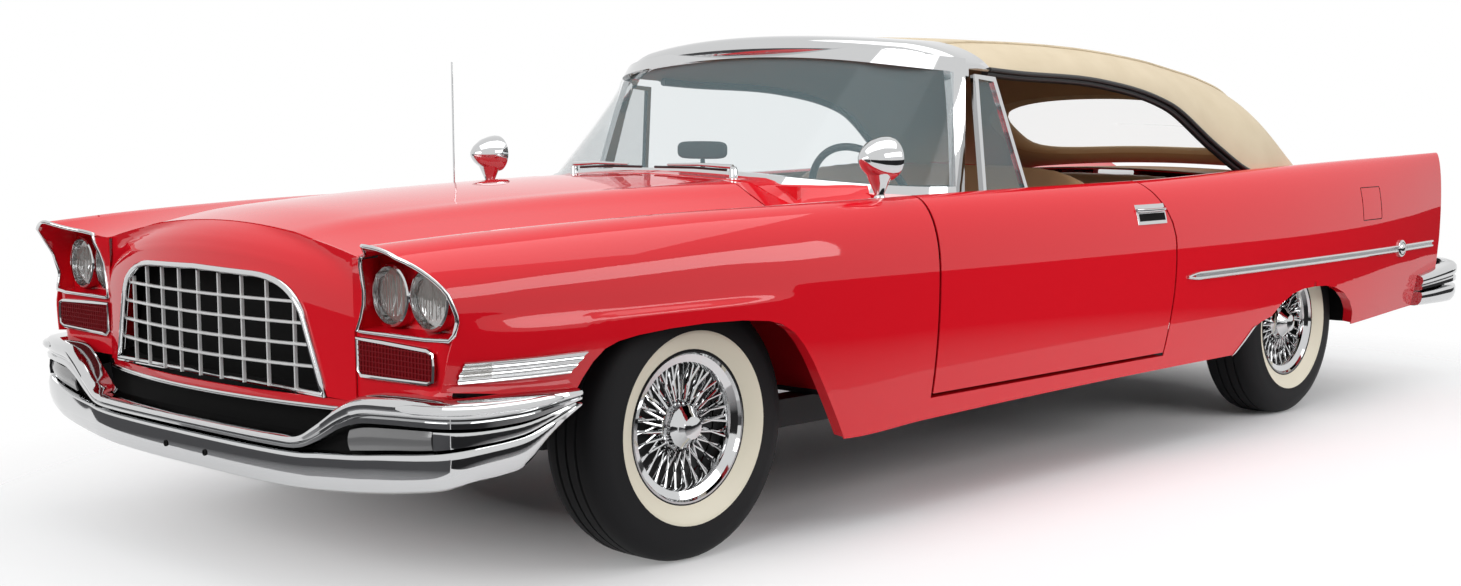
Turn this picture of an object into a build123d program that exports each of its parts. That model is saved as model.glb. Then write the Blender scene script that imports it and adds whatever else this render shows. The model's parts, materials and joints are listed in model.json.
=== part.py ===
from build123d import *
import math
import os

os.makedirs("parts", exist_ok=True)

# Frame: millimetres, front of the car at -Y, its left side at +X, the ground at Z 0.

# Running gear
FRONT_AXLE_Y = -1854
WHEELBASE = 3200
REAR_AXLE_Y = FRONT_AXLE_Y + WHEELBASE
FRONT_WHEEL_X = 777
REAR_WHEEL_X = 762
TYRE_R = 345
TYRE_HALF = 103
TYRE_SIDES = 60
BEAD_R = 178
BEAD_HALF = 70
FLANGE_R = 193
SPINDLE_R = 24
HUB_R = 58
DRUM_R = 95
KINGPIN_OFFSET = 105
KINGPIN_R = 14
ARM_THICK = 25
ARM_GAP = 8
FIT = 0.3

# Body sides, from the brow above the lamps to the tail
NOSE_Y = -2766
FENDER_END_Y = -1002
DOOR_GAP = 12
DOOR_REAR_GAP = 9
DOOR_FRONT_Y = FENDER_END_Y + DOOR_GAP
DOOR_REAR_Y = 268
SEAM_TOP_Y = 146
SEAM_LOW_Y = 243
QUARTER_Y = SEAM_LOW_Y + DOOR_REAR_GAP
DECK_Y = 1300
TAIL_Y = 2640
SKIN = 22
INNER_X = 590
DOOR_IN_X = 850
DOOR_BOTTOM_Z = 346
SILL_TOP_Z = DOOR_BOTTOM_Z - DOOR_GAP

# Columns: station, crest, widest point, lower edge, inner top edge height
BODY = [
    dict(y=-2766, crest_x=765, crest_z=850, waist_x=925, waist_z=705, low_x=895, low_z=560, valley_z=800),
    dict(y=-2500, crest_x=800, crest_z=868, waist_x=965, waist_z=695, low_x=940, low_z=520, valley_z=828),
    dict(y=-2200, crest_x=832, crest_z=882, waist_x=984, waist_z=690, low_x=950, low_z=480, valley_z=848),
    dict(y=-1850, crest_x=854, crest_z=893, waist_x=989, waist_z=685, low_x=950, low_z=360, valley_z=862),
    dict(y=-1400, crest_x=872, crest_z=900, waist_x=991, waist_z=678, low_x=950, low_z=266, valley_z=872),
    dict(y=-1000, crest_x=885, crest_z=906, waist_x=992, waist_z=670, low_x=950, low_z=272, valley_z=880),
    dict(y=-300, crest_x=892, crest_z=914, waist_x=994, waist_z=660, low_x=952, low_z=284, valley_z=890),
    dict(y=300, crest_x=890, crest_z=919, waist_x=994, waist_z=655, low_x=952, low_z=288, valley_z=893),
    dict(y=900, crest_x=879, crest_z=935, waist_x=989, waist_z=648, low_x=948, low_z=290, valley_z=897),
    dict(y=1300, crest_x=872, crest_z=944, waist_x=981, waist_z=642, low_x=940, low_z=300, valley_z=897),
    dict(y=1800, crest_x=864, crest_z=955, waist_x=960, waist_z=634, low_x=918, low_z=318, valley_z=890),
    dict(y=2250, crest_x=856, crest_z=963, waist_x=928, waist_z=627, low_x=890, low_z=335, valley_z=872),
    dict(y=2640, crest_x=845, crest_z=970, waist_x=893, waist_z=620, low_x=862, low_z=345, valley_z=845),
]

# Hood, cowl and deck: station, centre height, bulge edge, side edge
HOOD_FRONT_Y = -2655
HOOD_REAR_Y = -1283
LID_GAP = 8
EDGE_GAP = 10
EDGE_LIP = 8
EDGE_DEPTH = 12
COWL_Y = HOOD_REAR_Y + EDGE_GAP
HOOD_HALF = INNER_X - LID_GAP
HOOD_THICK = 25
HOOD = [
    dict(y=-2655, centre_z=878, bulge_x=340, bulge_z=858),
    dict(y=-2450, centre_z=908, bulge_x=370, bulge_z=888),
    dict(y=-2000, centre_z=936, bulge_x=410, bulge_z=917),
    dict(y=-1600, centre_z=952, bulge_x=440, bulge_z=932),
    dict(y=-1283, centre_z=962, bulge_x=460, bulge_z=941),
]
LID_FRONT_Y = 1845
LID_REAR_Y = 2560
LID_CROWN = 24

# Frame, floor and cabin
RAIL_IN_X = 345
RAIL_OUT_X = 430
RAIL_FRONT_Y = -2600
RAIL_Z = 270
RAIL_H = 100
MID_RAIL_IN_X = 560
MID_RAIL_OUT_X = 650
MID_RAIL_Z = 250
FLOOR_Z = 330
FLOOR_THICK = 15
REAR_RAIL_IN_X = 450
REAR_RAIL_OUT_X = 530
REAR_RAIL_Z = 410
REAR_RAIL_H = 80
KICK_Y = 780
FRAME_END_Y = 2560
TRUNK_Z = REAR_RAIL_Z + REAR_RAIL_H
FLOOR_FRONT_Y = -1150
FIREWALL_THICK = 15
POST_X = DOOR_IN_X - DOOR_GAP
COWL_REAR_Y = -600
COWL_THICK = 22
COWL_SIDE_Z = 893
POST_Z = 845
WALL = 15
BULKHEAD_Y = 1290

# Hinges
DOOR_HINGE_X = 938
DOOR_HINGE_BACK = 46
HINGE_PIN_R = 8
HINGE_BOSS_R = 13
DOOR_SWING_GAP = 5
HOOD_HINGE_Y = HOOD_REAR_Y + 105
HOOD_HINGE_Z = 905
LID_HINGE_Y = LID_FRONT_Y - 100
LID_HINGE_Z = 850
HINGE_REACH = 134
HINGE_DROP = 122
HINGE_ARM = 22

# Windscreen and soft top
GLASS_THICK = 6
TOP_THICK = 14


def at(table, y):
    """Columns of a station table at y, by cubic steps through the rows."""
    rows = sorted(table, key=lambda row: row["y"])
    if y <= rows[0]["y"]:
        return dict(rows[0], y=y)
    if y >= rows[-1]["y"]:
        return dict(rows[-1], y=y)
    i = max(k for k in range(len(rows) - 1) if rows[k]["y"] <= y)
    low, high = rows[i], rows[i + 1]
    before, after = rows[max(i - 1, 0)], rows[min(i + 2, len(rows) - 1)]
    span = high["y"] - low["y"]
    t = (y - low["y"]) / span
    found = {"y": y}
    for name in low:
        if name == "y":
            continue
        m0 = (high[name] - before[name]) / (high["y"] - before["y"]) * span
        m1 = (after[name] - low[name]) / (after["y"] - low["y"]) * span
        a, b = low[name], high[name]
        h = 2 * t**3 - 3 * t**2 + 1, t**3 - 2 * t**2 + t, -2 * t**3 + 3 * t**2, t**3 - t**2
        found[name] = h[0] * a + h[1] * m0 + h[2] * b + h[3] * m1
    return found


def stations(table, start, end):
    """Start, the rows well inside, and end."""
    inside = [row["y"] for row in table if start + 60 < row["y"] < end - 60]
    return [start] + inside + [end]


def side_x(row, z, inset=0):
    """Outer half width of the body side at height z."""
    if z >= row["waist_z"]:
        t = min((z - row["waist_z"]) / (row["crest_z"] - row["waist_z"]), 1)
        grow = (1 - t**2.4) ** 0.5
        return row["crest_x"] + (row["waist_x"] - row["crest_x"]) * grow - inset
    s = (row["waist_z"] - z) / (row["waist_z"] - row["low_z"])
    return row["waist_x"] - (row["waist_x"] - row["low_x"]) * s**2 - inset


def side_point(row, t, inset=0):
    """Point at share t of the height from the widest point to the crest."""
    z = row["waist_z"] + (row["crest_z"] - inset - row["waist_z"]) * t
    grow = (1 - t**2.4) ** 0.5
    x = row["crest_x"] + (row["waist_x"] - inset - row["crest_x"]) * grow
    return x, z


def lower_point(row, z, inset=0):
    return side_x(row, z, inset), z


def outer_arcs(row, low_z, inset=0):
    """Arcs from the lower edge up to the crest."""
    middle_z = (low_z + row["waist_z"]) / 2
    ThreePointArc(
        lower_point(row, low_z, inset), lower_point(row, middle_z, inset), side_point(row, 0, inset)
    )
    ThreePointArc(side_point(row, 0, inset), side_point(row, 0.42, inset), side_point(row, 0.75, inset))
    ThreePointArc(side_point(row, 0.75, inset), side_point(row, 0.92, inset), side_point(row, 1, inset))


def wall_section(y, low_z=None):
    """Skin section from the inner top edge over the crest to the lower edge."""
    row = at(BODY, y)
    low = row["low_z"] if low_z is None else low_z
    crest_x, crest_z = row["crest_x"], row["crest_z"]
    middle_x = (INNER_X + crest_x) / 2
    middle_z = row["valley_z"] + (crest_z - row["valley_z"]) * 0.36
    with BuildSketch(Plane.XZ.offset(-y)) as section:
        with BuildLine():
            outer_arcs(row, low)
            ThreePointArc((crest_x, crest_z), (middle_x, middle_z), (INNER_X, row["valley_z"]))
            Line((INNER_X, row["valley_z"]), (INNER_X, row["valley_z"] - SKIN))
            ThreePointArc(
                (INNER_X, row["valley_z"] - SKIN), (middle_x, middle_z - SKIN), (crest_x, crest_z - SKIN)
            )
            outer_arcs(row, low, SKIN)
            Line(lower_point(row, low), lower_point(row, low, SKIN))
        make_face()
    return section.sketch.face()


def full_section(y, inner_x, low_z, drop=0, inset=0):
    """Solid section from a flat inner face out to the skin."""
    row = at(BODY, y)
    top_z = row["crest_z"] - drop
    with BuildSketch(Plane.XZ.offset(-y)) as section:
        with BuildLine():
            outer_arcs(row, low_z, inset)
            Polyline(
                side_point(row, 1, inset), (inner_x, top_z), (inner_x, low_z), lower_point(row, low_z, inset)
            )
        make_face()
    return section.sketch.face()


def hood_height(y, x):
    """Height of the hood or cowl skin at x."""
    row = at(HOOD, y)
    edge_z = at(BODY, y)["valley_z"]
    if abs(x) <= row["bulge_x"]:
        return row["centre_z"] - (row["centre_z"] - row["bulge_z"]) * (x / row["bulge_x"]) ** 2
    t = (abs(x) - row["bulge_x"]) / (INNER_X - row["bulge_x"])
    return row["bulge_z"] + (edge_z - row["bulge_z"]) * t


def hood_section(y, half, thick, under=0):
    """Section of the hood or cowl between two depths under its skin."""
    row = at(HOOD, y)
    bulge = row["bulge_x"]
    with BuildSketch(Plane.XZ.offset(-y)) as section:
        with BuildLine():
            for drop in (under, thick):
                left = (-bulge, row["bulge_z"] - drop)
                right = (bulge, row["bulge_z"] - drop)
                ThreePointArc(left, (0, row["centre_z"] - drop), right)
                Line((-half, hood_height(y, half) - drop), left)
                Line(right, (half, hood_height(y, half) - drop))
            for side in (-half, half):
                Line((side, hood_height(y, half) - under), (side, hood_height(y, half) - thick))
        make_face()
    return section.sketch.face()


def deck_section(y, half, crown, thick, under=0):
    """Section of the deck between the fins, between two depths under its skin."""
    edge_z = at(BODY, y)["valley_z"]
    with BuildSketch(Plane.XZ.offset(-y)) as section:
        with BuildLine():
            for drop in (under, thick):
                ThreePointArc((-half, edge_z - drop), (0, edge_z + crown - drop), (half, edge_z - drop))
            for side in (-half, half):
                Line((side, edge_z - under), (side, edge_z - thick))
        make_face()
    return section.sketch.face()


def block(x, y, z, mode=Mode.ADD):
    """Box between pairs of coordinates."""
    with BuildSketch(Plane.XY.offset(z[0]), mode=Mode.PRIVATE) as base:
        with BuildLine():
            Polyline((x[0], y[0]), (x[1], y[0]), (x[1], y[1]), (x[0], y[1]), (x[0], y[0]))
        make_face()
    extrude(base.sketch, amount=z[1] - z[0], mode=mode)


def pair(x, y, z, mode=Mode.ADD):
    """The same box on both sides."""
    block(x, y, z, mode)
    block((-x[1], -x[0]), y, z, mode)


def rod(centre, axis, radius, length, mode=Mode.ADD):
    """Cylinder from a centre along an axis."""
    with BuildSketch(Plane(origin=centre, z_dir=axis), mode=Mode.PRIVATE) as disc:
        Circle(radius)
    extrude(disc.sketch, amount=length, mode=mode)


def lofted(sections, straight=False):
    """Solid through a list of faces, smooth or straight between them."""
    with BuildPart() as solid:
        loft(sections, ruled=straight)
    return solid.part


def keep(part, name):
    part.label = name
    export_step(part, "parts/" + name + ".step")


def mirrored(part):
    with BuildPart() as other:
        add(mirror(part, about=Plane.YZ))
    return other.part


def both_sides(part):
    with BuildPart() as two:
        add(part)
        add(mirror(part, about=Plane.YZ))
    return two.part


# Tyre and wheel about the X axis at the origin, outer face at +X: half width and radius
TREAD = [(TYRE_HALF, TYRE_R - 58), (TYRE_HALF - 21, TYRE_R - 9), (TYRE_HALF - 45, TYRE_R)]
SIDEWALL = [(TYRE_HALF, TYRE_R - 58), (TYRE_HALF - 3, FLANGE_R + 42), (BEAD_HALF, FLANGE_R + 2)]


def turned_flats(profile):
    """Many-sided turned form through half widths and radii along the axle."""
    faces = []
    for u, radius in profile:
        with BuildSketch(Plane.YZ.offset(u)) as section:
            RegularPolygon(radius, TYRE_SIDES, major_radius=False, rotation=180 / TYRE_SIDES)
        faces.append(section.sketch.face())
    return lofted(faces, True)


with BuildPart() as tyre:
    add(turned_flats([(-u, r) for u, r in TREAD] + list(reversed(TREAD))))
    for side in (-1, 1):
        add(turned_flats([(side * u, r) for u, r in SIDEWALL]), mode=Mode.SUBTRACT)
    add(turned_flats([(-BEAD_HALF, BEAD_R + FIT), (BEAD_HALF, BEAD_R + FIT)]), mode=Mode.SUBTRACT)

RIM_WALL = 12
DISC_U = 26
DISC_THICK = 12
HUB_IN_U = -20
HUB_OUT_U = 62
CAP_U = 96
CAP_R = 20
BORE_U = 50
SPOKES = 24
SPOKE_W = 9
rim_points = [
    (-BEAD_HALF - FIT - 9, BEAD_R - RIM_WALL), (-BEAD_HALF - FIT - 9, FLANGE_R),
    (-BEAD_HALF - FIT, FLANGE_R), (-BEAD_HALF - FIT, BEAD_R), (BEAD_HALF + FIT, BEAD_R),
    (BEAD_HALF + FIT, FLANGE_R), (BEAD_HALF + FIT + 9, FLANGE_R), (BEAD_HALF + FIT + 9, BEAD_R - RIM_WALL),
    (DISC_U + DISC_THICK, BEAD_R - RIM_WALL), (DISC_U + DISC_THICK, HUB_R), (HUB_OUT_U, HUB_R),
    (CAP_U, CAP_R), (CAP_U, 0), (BORE_U, 0), (BORE_U, SPINDLE_R + FIT), (HUB_IN_U, SPINDLE_R + FIT),
    (HUB_IN_U, HUB_R), (DISC_U, HUB_R), (DISC_U, BEAD_R - RIM_WALL),
]
with BuildPart() as wheel:
    with BuildSketch(Plane.XY):
        with BuildLine():
            Polyline(*rim_points, close=True)
        make_face()
    revolve(axis=Axis.X)
    with BuildSketch(Plane.YZ.offset(DISC_U - 1)):
        with PolarLocations(0, SPOKES):
            with BuildLine():
                window = []
                for reach in (HUB_R + 14, BEAD_R - RIM_WALL - 8):
                    half = math.pi / SPOKES - SPOKE_W / 2 / reach
                    window.append([(reach * math.cos(half), reach * math.sin(turn * half)) for turn in (-1, 1)])
                Polyline(window[0][0], window[1][0], window[1][1], window[0][1], close=True)
            make_face()
    extrude(amount=DISC_THICK + 2, mode=Mode.SUBTRACT)

WHEELS = [
    dict(name="front_left", side=1, x=FRONT_WHEEL_X, y=FRONT_AXLE_Y),
    dict(name="front_right", side=-1, x=FRONT_WHEEL_X, y=FRONT_AXLE_Y),
    dict(name="rear_left", side=1, x=REAR_WHEEL_X, y=REAR_AXLE_Y),
    dict(name="rear_right", side=-1, x=REAR_WHEEL_X, y=REAR_AXLE_Y),
]
for row in WHEELS:
    for kind, source in (("tyre", tyre.part), ("wheel", wheel.part)):
        turn = 0 if row["side"] > 0 else 180
        keep(Pos(row["side"] * row["x"], row["y"], TYRE_R) * Rot(0, 0, turn) * source, kind + "_" + row["name"])

# Steering knuckles with kingpin, backing drum and spindle
KINGPIN_X = FRONT_WHEEL_X - KINGPIN_OFFSET
DRUM_U = -75
DRUM_THICK = 40
ARM_LOW_Z = TYRE_R - DRUM_R - ARM_GAP - ARM_THICK
ARM_HIGH_Z = TYRE_R + DRUM_R + ARM_GAP
with BuildPart() as knuckle:
    rod((KINGPIN_X, FRONT_AXLE_Y, ARM_LOW_Z + 2), (0, 0, 1), KINGPIN_R, ARM_HIGH_Z - ARM_LOW_Z + ARM_THICK - 4)
    block(
        (KINGPIN_X - 24, FRONT_WHEEL_X + DRUM_U + 5), (FRONT_AXLE_Y - 34, FRONT_AXLE_Y + 34),
        (TYRE_R - DRUM_R + 5, TYRE_R + DRUM_R - 5),
    )
    rod((FRONT_WHEEL_X + DRUM_U, FRONT_AXLE_Y, TYRE_R), (1, 0, 0), DRUM_R, DRUM_THICK)
    rod((FRONT_WHEEL_X + DRUM_U, FRONT_AXLE_Y, TYRE_R), (1, 0, 0), SPINDLE_R, BORE_U - DRUM_U - FIT)
keep(knuckle.part, "knuckle_left")
keep(mirrored(knuckle.part), "knuckle_right")

# Front arms and cross beam
with BuildPart() as arms:
    for low in (ARM_LOW_Z, ARM_HIGH_Z):
        pair(
            (RAIL_OUT_X, KINGPIN_X + 26), (FRONT_AXLE_Y - 32, FRONT_AXLE_Y + 32), (low, low + ARM_THICK)
        )
    pair((RAIL_OUT_X, RAIL_OUT_X + 60), (FRONT_AXLE_Y - 70, FRONT_AXLE_Y + 70), (ARM_LOW_Z, ARM_HIGH_Z + ARM_THICK))
    for side in (-1, 1):
        rod(
            (side * KINGPIN_X, FRONT_AXLE_Y, ARM_LOW_Z - 1), (0, 0, 1), KINGPIN_R + FIT,
            ARM_HIGH_Z - ARM_LOW_Z + ARM_THICK + 2, Mode.SUBTRACT,
        )
keep(arms.part, "front_suspension")

# Ladder frame
with BuildPart() as frame:
    pair((RAIL_IN_X, RAIL_OUT_X), (RAIL_FRONT_Y, -1250), (RAIL_Z, RAIL_Z + RAIL_H))
    pair((RAIL_IN_X, MID_RAIL_OUT_X), (-1330, -1250), (MID_RAIL_Z, FLOOR_Z))
    pair((MID_RAIL_IN_X, MID_RAIL_OUT_X), (-1330, KICK_Y + 80), (MID_RAIL_Z, FLOOR_Z))
    pair((REAR_RAIL_IN_X, MID_RAIL_OUT_X), (KICK_Y, KICK_Y + 80), (MID_RAIL_Z, FLOOR_Z))
    pair((REAR_RAIL_IN_X, REAR_RAIL_OUT_X), (KICK_Y + 20, KICK_Y + 80), (MID_RAIL_Z, TRUNK_Z))
    pair((REAR_RAIL_IN_X, REAR_RAIL_OUT_X), (KICK_Y + 20, FRAME_END_Y), (REAR_RAIL_Z, TRUNK_Z))
    block((-RAIL_IN_X, RAIL_IN_X), (RAIL_FRONT_Y, RAIL_FRONT_Y + 70), (RAIL_Z, RAIL_Z + RAIL_H))
    block((-RAIL_IN_X, RAIL_IN_X), (FRONT_AXLE_Y - 60, FRONT_AXLE_Y + 60), (RAIL_Z - 40, RAIL_Z + 20))
    block((-MID_RAIL_IN_X, MID_RAIL_IN_X), (-330, -250), (MID_RAIL_Z, MID_RAIL_Z + 35))
    block((-REAR_RAIL_IN_X, REAR_RAIL_IN_X), (KICK_Y + 20, KICK_Y + 80), (MID_RAIL_Z, MID_RAIL_Z + 35))
    block((-REAR_RAIL_IN_X, REAR_RAIL_IN_X), (FRAME_END_Y - 60, FRAME_END_Y), (REAR_RAIL_Z, TRUNK_Z))
keep(frame.part, "chassis_frame")

# Rear axle with differential, drums and stub shafts
SPRING_IN_X = 455
SPRING_OUT_X = 515
SPRING_THICK = 24
PAD_Z = TYRE_R - 45
AXLE_R = 38
with BuildPart() as axle:
    inner = REAR_WHEEL_X + DRUM_U
    rod((-inner - 1, REAR_AXLE_Y, TYRE_R), (1, 0, 0), AXLE_R, 2 * inner + 2)
    for side in (-1, 1):
        rod((side * inner, REAR_AXLE_Y, TYRE_R), (side, 0, 0), DRUM_R, DRUM_THICK)
        rod((side * inner, REAR_AXLE_Y, TYRE_R), (side, 0, 0), SPINDLE_R, BORE_U - DRUM_U - FIT)
    rod((-75, REAR_AXLE_Y, TYRE_R), (1, 0, 0), 125, 150)
    rod((0, REAR_AXLE_Y, TYRE_R), (0, -1, 0), 50, 220)
    pair((SPRING_IN_X, SPRING_OUT_X), (REAR_AXLE_Y - 45, REAR_AXLE_Y + 45), (PAD_Z, TYRE_R - 20))
keep(axle.part, "rear_axle")

# Leaf springs hung between the kick-up and rear shackles
SHACKLE_Y = 2030
with BuildPart() as spring:
    with BuildSketch(Plane.YZ.offset(SPRING_IN_X)):
        with BuildLine():
            front = (KICK_Y + 80 + FIT, 345)
            for low in (0, SPRING_THICK):
                ThreePointArc(
                    (front[0], front[1] - low), (REAR_AXLE_Y, PAD_Z - FIT - low), (SHACKLE_Y, 372 - low)
                )
            Line(front, (front[0], front[1] - SPRING_THICK))
            Line((SHACKLE_Y, 372), (SHACKLE_Y, 372 - SPRING_THICK))
        make_face()
    extrude(amount=SPRING_OUT_X - SPRING_IN_X)
    block((SPRING_IN_X, SPRING_OUT_X), (SHACKLE_Y - 30, SHACKLE_Y), (350, REAR_RAIL_Z))
    add(axle.part, mode=Mode.SUBTRACT)
keep(both_sides(spring.part), "leaf_springs")

# Engine block, gearbox and propeller shaft
ENGINE_HALF = 200
ENGINE_Y = (-2130, -1330)
with BuildPart() as engine:
    block((-ENGINE_HALF, ENGINE_HALF), ENGINE_Y, (RAIL_Z + 20, 780))
    pair((ENGINE_HALF, RAIL_IN_X), (FRONT_AXLE_Y - 40, FRONT_AXLE_Y + 40), (RAIL_Z + 20, RAIL_Z + 60))
    block((-120, 120), (ENGINE_Y[1], -600), (290, 430))
    block((-70, 70), (-600, -250), (MID_RAIL_Z + 35, 400))
keep(engine.part, "engine_and_gearbox")
with BuildPart() as shaft:
    start = (0, -250 + FIT, TYRE_R)
    rod(start, (0, 1, 0), 40, REAR_AXLE_Y - 220 - FIT - start[1])
keep(shaft.part, "propeller_shaft")

# Exhaust with silencers under the floor
PIPE_R = 19
PIPE_X = 250
PIPE_Z = 225
SILENCER_Y = (-200, 360)
SILENCER_Z = 258
with BuildPart() as exhaust:
    for side in (-1, 1):
        rod((side * PIPE_X, -1230, PIPE_Z), (0, 1, 0), PIPE_R, SILENCER_Y[0] + 1240)
        with BuildSketch(Plane.XZ.offset(-SILENCER_Y[0])):
            with Locations((side * PIPE_X, SILENCER_Z)):
                RectangleRounded(190, 100, 40)
        extrude(amount=SILENCER_Y[0] - SILENCER_Y[1])
        hanger = SILENCER_Y[0] + 200
        block((side * PIPE_X - 12, side * PIPE_X + 12), (hanger, hanger + 40), (SILENCER_Z + 40, FLOOR_Z))
keep(exhaust.part, "exhaust")

# Floor with tunnel, heel board, trunk floor and inner side walls
TUNNEL_HALF = 150
TUNNEL_Z = 470
WALL_TOP_Z = 770
WALL_END_Y = FRAME_END_Y - 40
with BuildPart() as floor:
    block((-DOOR_IN_X, DOOR_IN_X), (FLOOR_FRONT_Y, KICK_Y + 20), (FLOOR_Z, FLOOR_Z + FLOOR_THICK))
    block((-TUNNEL_HALF, TUNNEL_HALF), (FLOOR_FRONT_Y, KICK_Y + 20), (FLOOR_Z, TUNNEL_Z))
    block(
        (-TUNNEL_HALF + WALL, TUNNEL_HALF - WALL), (FLOOR_FRONT_Y, KICK_Y + 20), (FLOOR_Z, TUNNEL_Z - WALL),
        Mode.SUBTRACT,
    )
    block((-INNER_X, INNER_X), (KICK_Y + 5, KICK_Y + 20), (FLOOR_Z, TRUNK_Z + WALL))
    block((-TUNNEL_HALF + WALL, TUNNEL_HALF - WALL), (KICK_Y, KICK_Y + 20), (FLOOR_Z, TUNNEL_Z - WALL), Mode.SUBTRACT)
    block((-INNER_X, INNER_X), (KICK_Y + 5, FRAME_END_Y - FIT), (TRUNK_Z, TRUNK_Z + WALL))
    pair((INNER_X - WALL, INNER_X), (KICK_Y + 5, WALL_END_Y), (TRUNK_Z, WALL_TOP_Z))
    block((-INNER_X, INNER_X), (BULKHEAD_Y, BULKHEAD_Y + WALL), (TRUNK_Z, WALL_TOP_Z))
keep(floor.part, "floor_pan")

# Front fenders with the lamp bay, brow cut and wheel arch
LAMP_Y = -2600
BAY_THICK = 20
bay = lofted([
    full_section(y, INNER_X, at(BODY, y)["low_z"] + 1, at(BODY, y)["crest_z"] - at(BODY, y)["valley_z"] + 8, 8)
    for y in (LAMP_Y, LAMP_Y + BAY_THICK)
])
with BuildPart() as fender:
    loft([wall_section(y) for y in stations(BODY, NOSE_Y, FENDER_END_Y)])
    add(bay)
    with BuildSketch(Plane.YZ):
        with BuildLine():
            Polyline((NOSE_Y - 10, 900), (NOSE_Y, 842), (-2640, 745), (-2668, 640), (-2668, 500), (-2900, 500),
                     (-2900, 900), (NOSE_Y - 10, 900))
        make_face()
    extrude(amount=1200, mode=Mode.SUBTRACT)
    with BuildSketch(Plane.YZ):
        with BuildLine():
            Polyline((-1360, 265), (-1360, 150), (-2310, 150), (-2310, 500), (-2285, 545))
            ThreePointArc((-2285, 545), (-2250, 592), (-2180, 612))
            ThreePointArc((-2180, 612), (-1900, 630), (-1660, 606))
            ThreePointArc((-1660, 606), (-1585, 565), (-1530, 500))
            Line((-1530, 500), (-1360, 265))
        make_face()
    extrude(amount=1200, mode=Mode.SUBTRACT)
keep(fender.part, "front_fender_left")
keep(mirrored(fender.part), "front_fender_right")

# Rear quarter panels with fins and wheel arch


def door_seam(behind, end_y):
    """Region on one side of the door's curved rear edge, seen from the side."""
    with BuildPart() as region:
        with BuildSketch(Plane.YZ.offset(DOOR_IN_X - 50)):
            with BuildLine():
                top, bend = (SEAM_TOP_Y + behind, 915), (DOOR_REAR_Y + behind, 725)
                low = (SEAM_LOW_Y + behind, DOOR_BOTTOM_Z)
                ThreePointArc(top, (DOOR_REAR_Y + behind - 48, 836), bend)
                ThreePointArc(bend, (DOOR_REAR_Y + behind - 3, 554), low)
                Polyline(low, (low[0], 200), (end_y, 200), (end_y, 1000), (top[0], 1000), top)
            make_face()
        extrude(amount=300)
    return region.part


side_wall = lofted([
    full_section(y, DOOR_IN_X, at(BODY, y)["low_z"], 6) for y in stations(BODY, SEAM_TOP_Y, DECK_Y)
])
with BuildPart() as quarter:
    loft([wall_section(y) for y in stations(BODY, DECK_Y, TAIL_Y)])
    add(side_wall)
    add(door_seam(DOOR_REAR_GAP, 0), mode=Mode.SUBTRACT)
    with BuildSketch(Plane.YZ):
        with BuildLine():
            Polyline((2800, 1100), (TAIL_Y + 2, 1100), (TAIL_Y, 968), (2556, 604), (2556, 100), (2800, 100),
                     (2800, 1100))
        make_face()
    extrude(amount=1200, mode=Mode.SUBTRACT)
    with BuildSketch(Plane.YZ):
        with BuildLine():
            Polyline((1711, 340), (1711, 150), (700, 150), (749, 285), (870, 384), (976, 403))
            ThreePointArc((976, 403), (1279, 494), (1571, 451))
            ThreePointArc((1571, 451), (1660, 405), (1711, 340))
        make_face()
    extrude(amount=1200, mode=Mode.SUBTRACT)
    rod((600, REAR_AXLE_Y, TYRE_R), (1, 0, 0), TYRE_R + 35, REAR_WHEEL_X + TYRE_HALF + 12 - 600, Mode.SUBTRACT)
keep(quarter.part, "rear_quarter_left")
keep(mirrored(quarter.part), "rear_quarter_right")

# Sills under the doors


def sill_section(y):
    """Section from the lower edge to just under the door."""
    row = at(BODY, y)
    low, top = lower_point(row, row["low_z"]), lower_point(row, SILL_TOP_Z)
    with BuildSketch(Plane.XZ.offset(-y)) as section:
        with BuildLine():
            ThreePointArc(low, lower_point(row, (low[1] + top[1]) / 2), top)
            Polyline(top, (DOOR_IN_X, SILL_TOP_Z), (DOOR_IN_X, row["low_z"]), low)
        make_face()
    return section.sketch.face()


with BuildPart() as sill:
    loft([sill_section(y) for y in stations(BODY, FENDER_END_Y + FIT, QUARTER_Y - FIT)])
keep(both_sides(sill.part), "sills")

# Cowl with firewall, hinge posts and hood brackets
DOOR_HINGE_Y = DOOR_FRONT_Y - DOOR_HINGE_BACK
HINGE_ROWS = [dict(z=500), dict(z=720)]
STRAP_THICK = 22
STRAP = [(-12, -5), (4, 12), (-34, 42), (-38, 85), (-66, 85), (-66, 52)]
BRACKET_THICK = 24
PIN_LEN = 26
HOOD_ARM_X = 400


def shelf_section(y, top):
    """Section of the cowl between the doors."""
    with BuildSketch(Plane.XZ.offset(-y)) as section:
        with BuildLine():
            ThreePointArc((-POST_X, COWL_SIDE_Z), (0, top), (POST_X, COWL_SIDE_Z))
            Polyline(
                (POST_X, COWL_SIDE_Z), (POST_X, COWL_SIDE_Z - 40), (-POST_X, COWL_SIDE_Z - 40), (-POST_X, COWL_SIDE_Z)
            )
        make_face()
    return section.sketch.face()


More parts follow.
